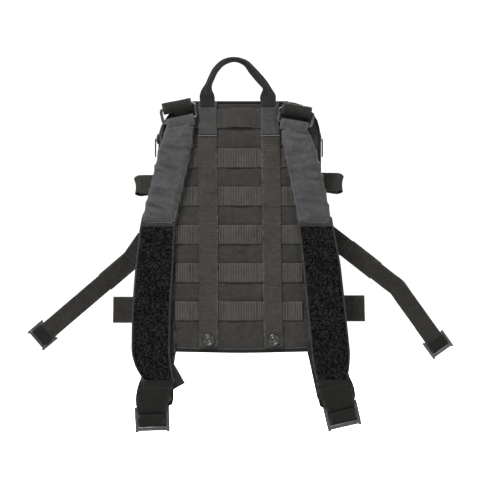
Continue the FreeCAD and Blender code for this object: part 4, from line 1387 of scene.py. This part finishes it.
# The middle line of the handle, (x, z) in millimetres.
HANDLE_ARCH = ((-41.5, 326), (-41.8, 334), (-42.4, 344.6), (-41.0, 352.0), (-36.3, 364.5), (-30.6, 375.4),
               (-20.5, 384.8), (-6.0, 388.8), (8.6, 384.2), (19.0, 372.6), (28.8, 361.4), (36.0, 352.6),
               (38.0, 345.0), (38.8, 334), (38.8, 326))


def make_handle():
    """The carry handle: webbing folded in half, flat and wide at its two feet."""
    pivot = joints["handle_fold"]["pos_m"]
    path = smooth_path([(x * MM, pivot[1], z * MM) for x, z in HANDLE_ARCH], 2 * MM)
    share = np.linspace(0, 1, len(path))
    foot = np.maximum(ease((0.2 - share) / 0.13), ease((share - 0.83) / 0.1))
    spread = 1.3 + 1.3 * ease((share - 0.5) / 0.2)
    wide = (3.1 + 6.4 * foot + spread * abs(np.sin(share * 2 * math.pi))) * MM
    across = np.cross(headings_along(path), TO_FRONT)
    halves = []
    for layer, sign in (("rear", 1), ("front", -1)):
        centres = path + TO_FRONT * (sign * (1.35 * MM - 0.35 * MM * foot))[:, None]
        twist = 0.4 * np.sin(share * 9 + sign * 0.6) * (1 - foot)
        leaning = across * np.cos(twist)[:, None] + TO_FRONT * np.sin(twist)[:, None]
        halves.append(ribbon(f"handle_{layer}_fold", centres, leaning, wide, 2.3 * MM, handle_webbing,
                             ripple=1.1 * MM, seed=3 + sign))
    keep = 0.1
    chosen = path[(share > keep) & (share < 1 - keep)]
    lines = [chosen + np.cross(headings_along(chosen), TO_FRONT) * (2.0 * MM)]
    stitch_lines("handle_stitching", lines, TO_WEARER, thread, "carry_handle", "webbing",
                 tree=surface_of(*halves), radius=FINE_THREAD)
    start = (pivot[0], pivot[1], pivot[2] - 5 * MM)
    end = (pivot[0], pivot[1], pivot[2] + 7 * MM)
    bridged(halves[0], "webbing", "pack", "carry_handle", start, end, "carry_handle")
    bridged(halves[1], "webbing", "pack", "carry_handle", start, end)


ROLL_GROWTH = 1.22
# The webbing roll's spiral round its ring's bar: (depth, up) in millimetres.
ROLL_WRAP = ((8.6, 3.6), (4.5, 5.3), (0.2, 5.9), (-3.4, 4.6), (-5.4, 1.6), (-5.2, -2.2), (-2.8, -5.0),
             (0.8, -5.5), (4.0, -3.6), (4.9, -0.4), (3.8, 2.6), (0.6, 4.1), (-2.2, 3.0), (-3.7, 0.3),
             (-2.9, -2.6), (0, -3.8), (2.6, -2.6))


def make_ring(side, sign):
    """A wire ring and the webbing roll that holds it at the pack's top corner."""
    local = Local(f"{side}_ring_swing")
    width, height, thick = local_size(f"{side}_strap_ring", local)
    wire = thick / 2
    half, low = width / 2 - wire, -(height - 2 * wire)
    corner = 3.4 * MM
    line = []
    for x, up, start in ((half, 0, 90), (half, low, 0), (-half, low, -90), (-half, 0, -180)):
        for turn in np.radians(np.linspace(start, start - 90, 7)):
            bend_x = x - math.copysign(corner, x)
            bend_up = up - corner if up == 0 else up + corner
            line.append(local.at(bend_x + corner * math.cos(turn), 0, bend_up + corner * math.sin(turn)))
    points, faces = tube(line, wire, wire, TO_FRONT, closed=True, sides=14)
    ring = new_piece(f"{side}_wire_ring", points, faces, coated)
    settle(ring, f"{side}_ring", "coated_metal", f"{side}_strap_ring")
    wrap = [local.at(0, depth * MM * (ROLL_GROWTH if depth < 0 else 1), up * ROLL_GROWTH * MM)
            for depth, up in ROLL_WRAP]
    span = local_size(f"{side}_ring_anchor", local)[0] / 2
    # painted shade: the roll is drawn in a darker webbing colour for the shade in its curl
    roll = ribbon(f"{side}_webbing_roll", smooth_path(wrap, 1.4 * MM), local.across, span, 1.7 * MM,
                  roll_webbing, ripple=0.7 * MM, seed=4 + sign)
    settle(roll, "pack", "webbing", f"{side}_ring_anchor")


# ---------------------------------------------------------------- lower corners and sides


def make_corner(side, sign):
    """The corner tab, and the adjusting webbing that hangs behind the strap."""
    low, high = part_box(f"{side}_corner_tab")
    x, y = box_middle(f"{side}_corner_tab")[:2]
    centres = np.array([(x, y, z) for z in np.linspace(high[2], low[2] - 1 * MM, 30)])
    half = (high[0] - low[0]) / 2
    tab = ribbon(f"{side}_corner_webbing", centres, RIGHT, half, 1.4 * MM, dark_webbing, ripple=0.4 * MM,
                 seed=sign)
    settle(tab, "pack", "webbing", f"{side}_corner_tab")
    node = f"{side}_adjusting_webbing"
    pivot = np.array(joints[f"{side}_adjuster_swing"]["pos_m"])
    points = node_points(node)
    top = points[points[:, 2] > pivot[2] - 12 * MM].mean(0)
    foot = points[points[:, 2] < points[:, 2].min() + 12 * MM].mean(0)
    heading = unit(np.array((foot[0] - top[0], 0, foot[2] - top[2])))
    length = np.ptp(points @ heading)
    drops = np.linspace(-length / 2 - 12 * MM, length / 2 - 1.5 * MM, 46)
    centres = points.mean(0) + heading * drops[:, None]
    behind_tab = ease((centres[:, 2] + 3 * MM) / (4 * MM))
    centres[:, 1] += 0.5 * MM * np.sin(drops / (9 * MM)) + 1.1 * MM * behind_tab
    across = np.cross(heading, TO_FRONT)
    across *= math.copysign(1, across[0])
    piece = ribbon(f"{side}_adjuster_webbing", centres, across, half - 0.3 * MM, 1.3 * MM, dark_webbing,
                   ripple=0.5 * MM, seed=3 * sign)
    bridged(piece, "webbing", "pack", f"{side}_adjuster", pivot + UP * 3 * MM, pivot - UP * 5 * MM, node)
    if side == "left":
        make_loose_end(np.array((low[0] + 22 * MM, y - 1.9 * MM, pivot[2] - 14 * MM)))


def make_loose_end(start):
    """The left adjusting webbing's free end, which shows beside the strap."""
    slope = math.radians(30)
    heading = np.array((math.sin(slope), 0, -math.cos(slope)))
    run = [start, start + heading * 12 * MM + TO_FRONT * 0.3 * MM, start + heading * 32 * MM]
    loose = ribbon("left_adjuster_end", smooth_path(run, 2 * MM), np.cross(TO_FRONT, heading), WEBBING_HALF,
                   1.2 * MM, dark_webbing, ripple=0.5 * MM, seed=12)
    settle(loose, "left_adjuster", "webbing")


def make_strap_root(side, sign, seam):
    """The two sewn layers that a side strap grows from."""
    edge = sign * PANEL_WIDTH / 2
    root_points = node_points(f"{side}_side_strap_root")
    inner = root_points[abs(root_points[:, 0] - edge) < 1 * MM]
    root_mid = np.array((edge, seam.origin[1], inner[:, 2].mean()))
    root_half = np.ptp(inner[:, 2]) / 2
    path = even_path(np.array([root_mid, seam.mm(0, 0, 1.5)]), 1.5 * MM)
    share = np.linspace(0, 1, len(path))[:, None]
    across = UP * sign * (1 - share) + seam.across * sign * share
    half = root_half * (1 - share[:, 0]) + WEBBING_HALF * share[:, 0]
    layers = []
    for layer, shift, narrower in (("front", -0.8 * MM, 0), ("rear", 0.8 * MM, 0.8 * MM)):
        piece = ribbon(f"{side}_root_{layer}", path + TO_FRONT * shift, across, half - narrower, 1.5 * MM,
                       strap_webbing, ripple=0.3 * MM, seed=sign + 2)
        layers.append(settle(piece, "pack", "webbing"))
    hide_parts(f"{side}_side_strap_root")
    lines = [cross_line(seam.mm(0, 0, rise), seam.across, SEAM_HALF) for rise in (3, 12)]
    stitch_lines(f"{side}_root_stitching", lines, TO_WEARER, thread, "pack", "webbing",
                 tree=surface_of(layers[0]), radius=FINE_THREAD)


def make_side_strap(side, sign):
    """The strap at the pack's side: sewn root, free run, and its ladder lock."""
    seam, far = Local(f"{side}_waist_strap_fold"), Local(f"{side}_waist_lock_turn")
    make_strap_root(side, sign, seam)
    turn_point = seam.origin - seam.up * first_length(seam, far)
    run = [seam.mm(0, 0, 7), seam.mm(0, 0, 0.6), seam.origin - seam.up * 20 * MM,
           turn_point + seam.up * 16 * MM, turn_point, turn_point - far.up * 16 * MM, far.mm(0, -1.5, 14),
           far.mm(0, -3.3, 3), far.mm(0, -3.0, -1.5), far.mm(0, -0.4, -3.4), far.mm(0, 2.6, -2),
           far.mm(0, 3.2, 2.5), far.mm(0, 1.6, 14), far.mm(0, 1.4, 26)]
    path = smooth_path(run, 2 * MM)
    near = ease(((path - turn_point) @ seam.up + 9 * MM) / (18 * MM))
    across = far.across * (1 - near)[:, None] + seam.across * near[:, None]
    strap = ribbon(f"{side}_waist_webbing", path, across, WEBBING_HALF - 0.2 * MM, 1.4 * MM, strap_webbing,
                   ripple=0.7 * MM, seed=7 + sign)
    doubled = even_path(np.array([seam.mm(0, 0, 6), seam.at(0, 0, -DOUBLED_LENGTH)]), 2 * MM)
    layer = ribbon(f"{side}_waist_doubling", doubled + TO_FRONT * 1.3 * MM, seam.across,
                   WEBBING_HALF + 0.9 * MM, 1.3 * MM, strap_webbing, ripple=0.4 * MM, seed=11 + sign)
    body = f"{side}_waist_strap"
    bridged(strap, "webbing", "pack", body, seam.mm(0, 0, 4), seam.mm(0, 0, -5), f"{side}_side_strap")
    bridged(layer, "webbing", "pack", body, seam.mm(0, 0, 4), seam.mm(0, 0, -5))
    tree = surface_of(strap)
    tacks = []
    for rise in (17 * MM, 22 * MM):
        middle = dropped(tree, [far.at(0, 0, rise)], TO_FRONT)[0]
        tacks.append((middle - far.across * SEAM_HALF, middle + far.across * SEAM_HALF))
    bartacks(f"{side}_waist_tacks", tacks, TO_WEARER, body, "webbing")
    make_lock(f"{side}_narrow_lock", f"{side}_waist_lock", f"{side}_side_lock", far, 3.2 * MM,
              SMALL_LOCK_MID_DROP, 4.8 * MM)
    wrap = wrap_round(far, 1.6 * MM - SMALL_LOCK_MID_DROP, 3.1 * MM, 7.3 * MM, 7.3 * MM)
    # painted shade: the webbing round the lock's middle bar takes the darker end_webbing, not the strap's
    # own colour, for the shade inside the lock
    tail = ribbon(f"{side}_waist_lock_webbing", wrap, far.across, WEBBING_HALF + 0.3 * MM, 1.4 * MM,
                  end_webbing, closed=True)
    settle(tail, f"{side}_waist_lock", "webbing")


def first_length(seam, far):
    """How far down the first direction the strap turns towards its lock."""
    gap = far.origin - seam.origin
    if abs(seam.up @ far.across) < 1e-3:
        return -(gap @ seam.up) / 2
    return -(gap @ far.across) / (seam.up @ far.across)


def make_side_loop(side, sign):
    """An open webbing loop at the pack's upper side, slightly skewed."""
    low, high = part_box(f"{side}_upper_loop")
    depth, height = box_middle(f"{side}_upper_loop")[1:]
    inner, outer = (low[0], high[0]) if sign > 0 else (high[0], low[0])
    reach = abs(outer - inner)
    gap = (high[1] - low[1]) / 2 - WEBBING_THICK / 2
    length = reach / MM
    front = ((-2, -1), (6, -1), (16, -1.02), (length - 5, -0.95), (length - 1.4, -0.6))
    run = front + ((length - 0.8, 0),) + tuple((x, -side_y) for x, side_y in front[::-1])
    path = [(inner + sign * x * MM, depth + side_y * gap, height) for x, side_y in run]
    path = smooth_path(path, 1.5 * MM)
    reach_share = np.clip(abs(path[:, 0] - inner) / reach, 0, 1)
    path[:, 2] -= 5.5 * MM * reach_share * (path[:, 1] - low[1]) / (high[1] - low[1])
    half = WEBBING_HALF - 2.2 * MM * ease((reach_share - 0.8) / 0.2)
    loop = ribbon(f"{side}_side_loop", path, unit(UP + RIGHT * 0.06 * sign), half, WEBBING_THICK, webbing,
                  ripple=0.35 * MM, seed=sign + 5)
    settle(loop, "pack", "webbing", f"{side}_upper_loop")


def make_side_tab(side, sign):
    """A wide webbing tab folded over on itself at the pack's lower side."""
    node = f"{side}_lower_tab"
    low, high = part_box(node)
    depth, height = box_middle(node)[1:]
    inner = low[0] if sign > 0 else high[0]
    length = (high[0] - low[0]) / MM
    front = ((-2, -0.75), (20, -0.85), (44, -0.8), (length - 3, -0.78))
    run = front + ((length - 0.9, 0),) + tuple((x, -y) for x, y in front[::-1])
    path = smooth_path([(inner + sign * x * MM, depth + y * MM, height) for x, y in run], 1.5 * MM)
    lean = 0.035 if sign > 0 else 0.02
    tab = ribbon(f"{side}_side_tab", path, unit(UP + RIGHT * lean * -sign), (high[2] - low[2]) / 2,
                 1.3 * MM, side_webbing, ripple=0.4 * MM, seed=8 + sign)
    settle(tab, "pack", "webbing", node)


# ---------------------------------------------------------------- zipper


def zipper_line(outset):
    """The zipper's run: up one side, over the top and down the other."""
    line = outline(outset, 2 * MM)
    keep = line[:, 1] > CORNER_RADIUS * 0.9
    start = int(np.argmax(keep))
    order = np.roll(line, -start, 0)
    keep = np.roll(keep, -start)
    return order[keep]


def make_teeth(name, body, depth, phase):
    """Moulded zipper teeth, every other place along the zipper's run."""
    parts = []
    line = even_path(zipper_line(1.9 * MM), 1.35 * MM)
    headings = headings_along(line)
    for index in range(phase, len(line), 2):
        x, z = line[index]
        heading = np.array((headings[index][0], 0, headings[index][1]))
        ends = [np.array((x, depth + half, z)) for half in (-1.35 * MM, 1.35 * MM)]
        parts.append(bar(*ends, 0.5 * MM, 0.75 * MM, heading, power=3.0, sides=8))
    assembled(name, parts, tooth_plastic, body, "moulded_plastic")


def make_zipper():
    """The zipper's two tapes and rows of teeth, its sliders, and the cloth hinge at the base."""
    for half, body in (("rear", "pack"), ("front", "front_lid")):
        node = f"{half}_zipper_tape"
        low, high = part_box(node)
        width = (high[1] - low[1]) / 2 + 0.6 * MM
        tape = band_round(f"{half}_tape", box_middle(node)[1], width, 0.6 * MM, 1.4 * MM, tape_cloth)
        settle(tape, body, "zipper_tape", node)
    seam = (SEAM_REAR + SEAM_FRONT) / 2
    make_teeth("rear_teeth", "pack", seam - 0.7 * MM, 0)
    make_teeth("front_teeth", "front_lid", seam + 0.7 * MM, 1)
    for side, sign in SIDES.items():
        make_slider(side, sign)
        make_pull(side)
    make_hinge_strip(seam)


def make_pull(side):
    """A slider's pull: a wire loop with a flat plate in it."""
    node = f"{side}_zipper_pull"
    low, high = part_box(node)
    x, y, z = box_middle(node)
    rim = []
    for turn in np.linspace(0, 2 * math.pi, 28, endpoint=False):
        c, s = math.cos(turn), math.sin(turn)
        width = signed_power(c, 0.6) * (high[1] - low[1]) / 2 * 0.72
        rise = signed_power(s, 0.8) * (high[2] - low[2]) / 2 * 0.94
        rim.append((x, y + width, z + rise))
    parts = [
        tube(rim, 0.85 * MM, 0.85 * MM, RIGHT, closed=True, sides=10),
        bar((x, y, z - 2 * MM), (x, y, low[2] + 1 * MM), 0.7 * MM, 2.3 * MM, RIGHT, power=4),
    ]
    assembled(f"{side}_pull_tab", parts, pull_coating, f"{side}_pull", "coated_metal", node)


def make_hinge_strip(seam):
    """The cloth that joins the two halves along the pack's bottom edge."""
    reach = 9 * MM
    xs = np.linspace(CORNER_RADIUS - PANEL_WIDTH / 2, PANEL_WIDTH / 2 - CORNER_RADIUS, 60)
    depths = np.linspace(seam - reach, seam + reach, 13)

    def surfaces(x, depth):
        bow = 1.6 * MM * (1 - ((depth - seam) / reach) ** 2)
        return (x, depth, -0.9 * MM - bow), (x, depth, -0.1 * MM - bow)

    strip = grid_slab("hinge_strip", xs, depths, surfaces, pack_cloth)
    bridged(strip, "pack_cloth", "pack", "front_lid", (0, seam - 4 * MM, 0), (0, seam + 4 * MM, 0))


def make_slider(side, sign):
    """A zipper slider: a shell over the teeth, and a bridge."""
    node = f"{side}_zipper_slider"
    low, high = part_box(node)
    centre, half = box_middle(node), (np.array(high) - np.array(low)) / 2
    shell, bridge = centre - RIGHT * (sign * 0.4 * MM), centre + RIGHT * (sign * half[0] * 0.7)
    rise = UP * half[2]
    parts = [
        bar(shell - rise, shell + rise, half[0] * 0.8, half[1], RIGHT, power=3.2),
        bar(bridge - rise * 0.55, bridge + rise * 0.55, half[0] * 0.45, half[1] * 0.3, RIGHT, power=2.6),
    ]
    assembled(f"{side}_slider_body", parts, coated, f"{side}_slider", "coated_metal", node)


# ---------------------------------------------------------------- bindings, front and inside


def hugging(tree, depth, sunk):
    """A closed line round the pack at one depth, sunk a little into the cloth it lies on."""
    line = outline(0, 3 * MM)
    path = np.stack((line[:, 0], np.full(len(line), depth), line[:, 1]), 1)
    outward = np.cross(TO_FRONT, headings_along(path, closed=True))
    outward *= np.sign((outward * (path - path.mean(0))).sum(1))[:, None]
    hits = dropped(tree, path, -outward, 20 * MM)
    gap = ((hits - path) * outward).sum(1)
    width = 4
    around = np.concatenate((gap[-width:], gap, gap[:width]))
    gap = np.convolve(around, np.ones(2 * width + 1) / (2 * width + 1), "valid")
    return path + outward * (gap - sunk)[:, None]


def make_bindings():
    """Bound edges that lie on the shells, and a seam round the harness face."""
    for name, node, body, shell in (("rear_binding", "back_edge_binding", "pack", rear_shell),
                                    ("front_binding", "front_edge_binding", "front_lid", front_shell)):
        path = hugging(surface_of(shell), box_middle(node)[1], 0.9 * MM)
        points, faces = tube(path, 2.5 * MM, 2.2 * MM, TO_FRONT, closed=True, sides=16, power=2.6)
        binding = new_piece(name, points, faces, binding_cloth, tube_weave(path, 16))
        settle(binding, body, "binding", node)
    line = outline(-6.2 * MM, 3 * MM, hang=1.0)
    seam = np.stack((line[:, 0], np.zeros(len(line)), line[:, 1]), 1)
    seam[:, 0] += pressed_in(seam[:, 0], 0, seam[:, 2])
    seam = dropped(surface_of(rear_shell), seam, TO_FRONT)
    points, faces = tube(seam, 0.8 * MM, 0.8 * MM, TO_FRONT, closed=True, sides=8)
    settle(new_piece("panel_seam", points, faces, dark_thread), "pack", "binding")


def make_front_row(number, tree, half, low_z, high_z):
    """One webbing row that lies on the bulging front."""
    height, half_height = (low_z + high_z) / 2, (high_z - low_z) / 2
    flat = np.array([(x, FRONT_FACE, height) for x in np.linspace(-half, half, 80)])
    centres = dropped(tree, flat, TO_WEARER)
    upper = dropped(tree, flat + UP * half_height * 0.8, TO_WEARER)
    across = upper - dropped(tree, flat - UP * half_height * 0.8, TO_WEARER)
    across[:, 0] = 0
    centres[:, 1] = softened(centres[:, 1], 3) + WEBBING_THICK / 2 + 0.35 * MM
    row = ribbon(f"front_row_{number}", centres, across, half_height, WEBBING_THICK, row_webbing,
                 ripple=0.25 * MM, seed=80)
    return settle(row, "front_lid", "webbing")


FRONT_TACK_COLUMNS = (-71 * MM, -35.5 * MM, 0.0, 35.5 * MM, 71 * MM)


def make_front_rows(tree):
    """The rows of webbing on the front panel, and their tacks."""
    points = node_points("front_pals_rows")
    heights = sorted({round(float(z), 4) for z in points[:, 2]})
    tacks = []
    for number, (low_z, high_z) in enumerate(zip(heights[::2], heights[1::2]), 1):
        row = make_front_row(number, tree, points[:, 0].max(), low_z, high_z)
        if number == 1:
            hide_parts("front_pals_rows")
        row_tree = surface_of(row)
        for x in FRONT_TACK_COLUMNS:
            ends = [(x, FRONT_FACE, low_z + 1 * MM), (x, FRONT_FACE, high_z - 1 * MM)]
            tacks.append(tuple(dropped(row_tree, ends, TO_WEARER)))
    bartacks("front_row_tacks", tacks, TO_FRONT, "front_lid", "webbing")


def make_front(shell):
    """Webbing rows and a loop field on the front panel."""
    tree = surface_of(shell)
    make_front_rows(tree)
    low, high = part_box("front_loop_field")

    def surfaces(z, x):
        point = dropped(tree, [(x, FRONT_FACE, z)], TO_WEARER)[0]
        where = Vector((point[0] / PILE_GRAIN, z / PILE_GRAIN, 7.7))
        edge = min(point[0] - low[0], high[0] - point[0], z - low[2], high[2] - z)
        crown = min(1, edge / (1.5 * MM) + 0.3)
        rise = (1.5 * MM + noise.noise(where) * 0.45 * MM) * crown
        return point + TO_FRONT * rise, point + TO_FRONT * 0.1 * MM

    zs, xs = np.linspace(low[2], high[2], 56), np.linspace(low[0], high[0], 90)
    field = grid_slab("front_pile_field", zs, xs, surfaces, pile)
    settle(field, "front_lid", "loop_pile", "front_loop_field")
    inset = 2.5 * MM
    left, right, foot, head = low[0] + inset, high[0] - inset, low[2] + inset, high[2] - inset
    corners = ((left, foot), (right, foot), (right, head), (left, head), (left, foot))
    stitch_lines("front_pile_stitching", [[(x, FRONT_FACE, z) for x, z in corners]], TO_FRONT, thread,
                 "front_lid", "loop_pile", tree=surface_of(field))


def corner_cut(x, low, high, radius):
    """How far a rounded corner of this radius cuts in at x, between the sides low and high."""
    beyond = max(0.0, radius - min(x - low, high - x))
    return radius - math.sqrt(max(0.0, radius**2 - beyond**2))


def rounded_sheet(name, node, material, body, slot, crown, ripple, radius=CORNER_RADIUS, facing=-1,
                  top_radius=None, inset=0.0):
    """A soft flat board with rounded corners that fills a CAD node's box, less an inset."""
    low, high = (np.array(corner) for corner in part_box(node))
    low[0] += inset
    high[[0, 2]] -= inset
    columns, rows = 60, 80
    xs = (low[0] + high[0]) / 2 + (high[0] - low[0]) / 2 * np.sin(np.linspace(-1, 1, columns) * math.pi / 2)
    front, back = np.zeros((rows, columns, 3)), np.zeros((rows, columns, 3))
    middle, half = (low[1] + high[1]) / 2, abs(high[1] - low[1]) / 2
    for j, x in enumerate(xs):
        foot = low[2] + corner_cut(x, low[0], high[0], radius)
        head = high[2] - corner_cut(x, low[0], high[0], top_radius or radius)
        for i, share in enumerate(np.sin(np.linspace(-1, 1, rows) * math.pi / 2) / 2 + 0.5):
            z = foot + (head - foot) * share
            edge = min(x - low[0], high[0] - x, z - foot, head - z)
            thick = half * crowned(edge, 3 * MM, 0.1)
            sway = noise.noise(Vector((x / (45 * MM), z / (40 * MM), 1.7)))
            rise = thick + crown * ease(edge / (40 * MM)) + sway * ripple * ease(edge / (20 * MM))
            front[i, j] = x, middle + facing * rise, z
            back[i, j] = x, middle - facing * thick, z
    settle(slab(name, front, back, material), body, slot, node)


def make_elastic():
    """The elastic band in loops across the organiser, sewn down between the loops."""
    low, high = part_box("elastic_loops")
    bays = 4
    base, rise = low[1] + 0.9 * MM, high[1] - low[1] - 1.4 * MM
    width = (high[0] - low[0]) / bays
    seams = [low[0] + bay * width for bay in range(bays + 1)]
    rising = ((1.2 * MM, 0), (3 * MM, 0.75), (width * 0.3, 0.98), (width * 0.5, 1))
    bay_line = rising + tuple((width - x, share) for x, share in rising[2::-1])
    height = box_middle("elastic_loops")[2]
    line = [(seam + x, base + rise * share, height) for seam in seams[:-1] for x, share in bay_line]
    band = ribbon("elastic_band", smooth_path(line, 1.5 * MM), UP, (high[2] - low[2]) / 2, 1.2 * MM,
                  elastic, ripple=0.3 * MM, seed=4)
    settle(band, "pack", "elastic", "elastic_loops")
    depth = base + 0.9 * MM
    tacks = [((x, depth, low[2] + 1 * MM), (x, depth, high[2] - 1 * MM)) for x in seams]
    bartacks("elastic_tacks", tacks, TO_FRONT, "pack", "elastic")


def make_inside():
    """The board behind the harness, the organiser with its elastic, and the lid's pocket."""
    rounded_sheet("stiff_board", "frame_sheet", board, "pack", "stiffener", 0, 0.0,
                  top_radius=TOP_CORNER_RADIUS, inset=5 * MM)
    rounded_sheet("organiser", "organiser_panel", lining, "pack", "pack_cloth", 0.3 * MM, 0.5 * MM,
                  facing=1)
    make_elastic()
    rounded_sheet("mesh_pocket", "lid_mesh_pocket", pocket_mesh, "front_lid", "mesh", 0.6 * MM, 0.8 * MM,
                  radius=8 * MM)
    low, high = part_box("lid_mesh_pocket")
    hem = [(x, low[1] - 0.6 * MM, high[2] - 6 * MM) for x in np.linspace(low[0], high[0], 40)]
    binding = ribbon("pocket_binding", hem, UP, 6 * MM, 1.4 * MM, binding_cloth)
    settle(binding, "front_lid", "binding")


# ---------------------------------------------------------------- assembly

rear_shell, front_shell = make_shells()
pads = {side: make_pad_start(side) for side in SIDES}
inflated([(rear_shell, 4.0, rear_reach), (front_shell, 4.0, front_reach)]
         + [(pad, 4.0, pad_reach) for pad in pads.values()])

puffed_panel(rear_shell)
for shell in (rear_shell, front_shell):
    subdivided(shell)


def gusset_mask(point):
    """Creases fade towards the harness face and the zipper."""
    depth = point[1]
    return ease((depth - 6 * MM) / (10 * MM)) * ease(abs(depth - (SEAM_REAR + SEAM_FRONT) / 2) / (14 * MM))


creased(rear_shell, 1.6 * MM, 34 * MM, (1, 1.3, 0.8), seed=1, mask=gusset_mask)
creased(front_shell, 1.5 * MM, 40 * MM, (1, 1, 0.8), seed=2, mask=gusset_mask)
make_front(front_shell)
opened(rear_shell, SEAM_REAR, False, 1.6 * MM)
opened(front_shell, SEAM_FRONT, True, 1.6 * MM)
for shell in (rear_shell, front_shell):
    box_weave(shell)
settle(rear_shell, "pack", "pack_cloth", "back_panel", "rear_gusset")
settle(front_shell, "front_lid", "pack_cloth", "front_panel", "front_gusset")

make_bindings()
make_zipper()
make_inside()
make_rows()
make_studs()
make_handle()
for side, sign in SIDES.items():
    make_attachment(side, sign)
    make_ring(side, sign)
    finish_pad(side, pads[side], sign)
    make_loop_field(side, sign)
    make_strap_end(side, sign)
    make_corner(side, sign)
    make_side_strap(side, sign)
    make_side_loop(side, sign)
    make_side_tab(side, sign)

# ---------------------------------------------------------------- floor, light and camera

FLOOR_DROP = 260 * MM
CAMERA_DISTANCE = 1.3
VIEW_CENTRE = (0.0015, 0.0, 0.1493)
VIEW_SPAN = 0.638
SENSOR = 36.0


FLOOR_HALF = 12.0


def make_floor():
    """A plain pale floor below the held pack."""
    height = cad_low[2] - FLOOR_DROP
    corners = [(x * FLOOR_HALF, y * FLOOR_HALF, height) for x, y in ((-1, -1), (1, -1), (1, 1), (-1, 1))]
    nodes = Nodes("floor_paint")
    patches = nodes.span(nodes.noise(nodes.places(), 1.5), 0.3, 0.7)
    tint = nodes.mix(patches, (0.9, 0.9, 0.9, 1), (0.93, 0.93, 0.93, 1))
    paint = nodes.finished({"Base Color": tint, "Roughness": 0.9, "Specular IOR Level": 0.1})
    new_piece("floor", corners, [(0, 1, 2, 3)], paint)


def make_light(name, place, target, size, power):
    """A soft square light that faces a point."""
    lamp = bpy.data.lights.new(name, "AREA")
    lamp.shape = "SQUARE"
    lamp.size = size
    lamp.energy = power
    light = bpy.data.objects.new(name, lamp)
    bpy.context.scene.collection.objects.link(light)
    light.location = place
    light.rotation_euler = (Vector(target) - Vector(place)).to_track_quat("-Z", "Y").to_euler()


def make_studio():
    """A white world, three soft lights and the camera at the photo's place."""
    scene = bpy.context.scene
    world = bpy.data.worlds.new("studio")
    world.use_nodes = True
    world.node_tree.nodes["Background"].inputs["Color"].default_value = (1, 1, 1, 1)
    world.node_tree.nodes["Background"].inputs["Strength"].default_value = 1.12
    scene.world = world
    scene.view_settings.view_transform = "Standard"
    middle = (0, 0.03, 0.15)
    make_light("key_light", (-0.8, -1.3, 1.9), middle, 0.7, 400)
    make_light("fill_light", (1.5, -1.5, 0.5), middle, 0.8, 70)
    make_light("back_light", (0.9, 1.9, 1.4), middle, 1.2, 220)
    camera = bpy.data.cameras.new("camera")
    camera.sensor_width = SENSOR
    camera.lens = SENSOR * CAMERA_DISTANCE / VIEW_SPAN
    view = bpy.data.objects.new("camera", camera)
    scene.collection.objects.link(view)
    view.location = (VIEW_CENTRE[0], VIEW_CENTRE[1] - CAMERA_DISTANCE, VIEW_CENTRE[2])
    view.rotation_euler = (math.radians(90), 0, 0)
    scene.camera = view


make_floor()
make_studio()
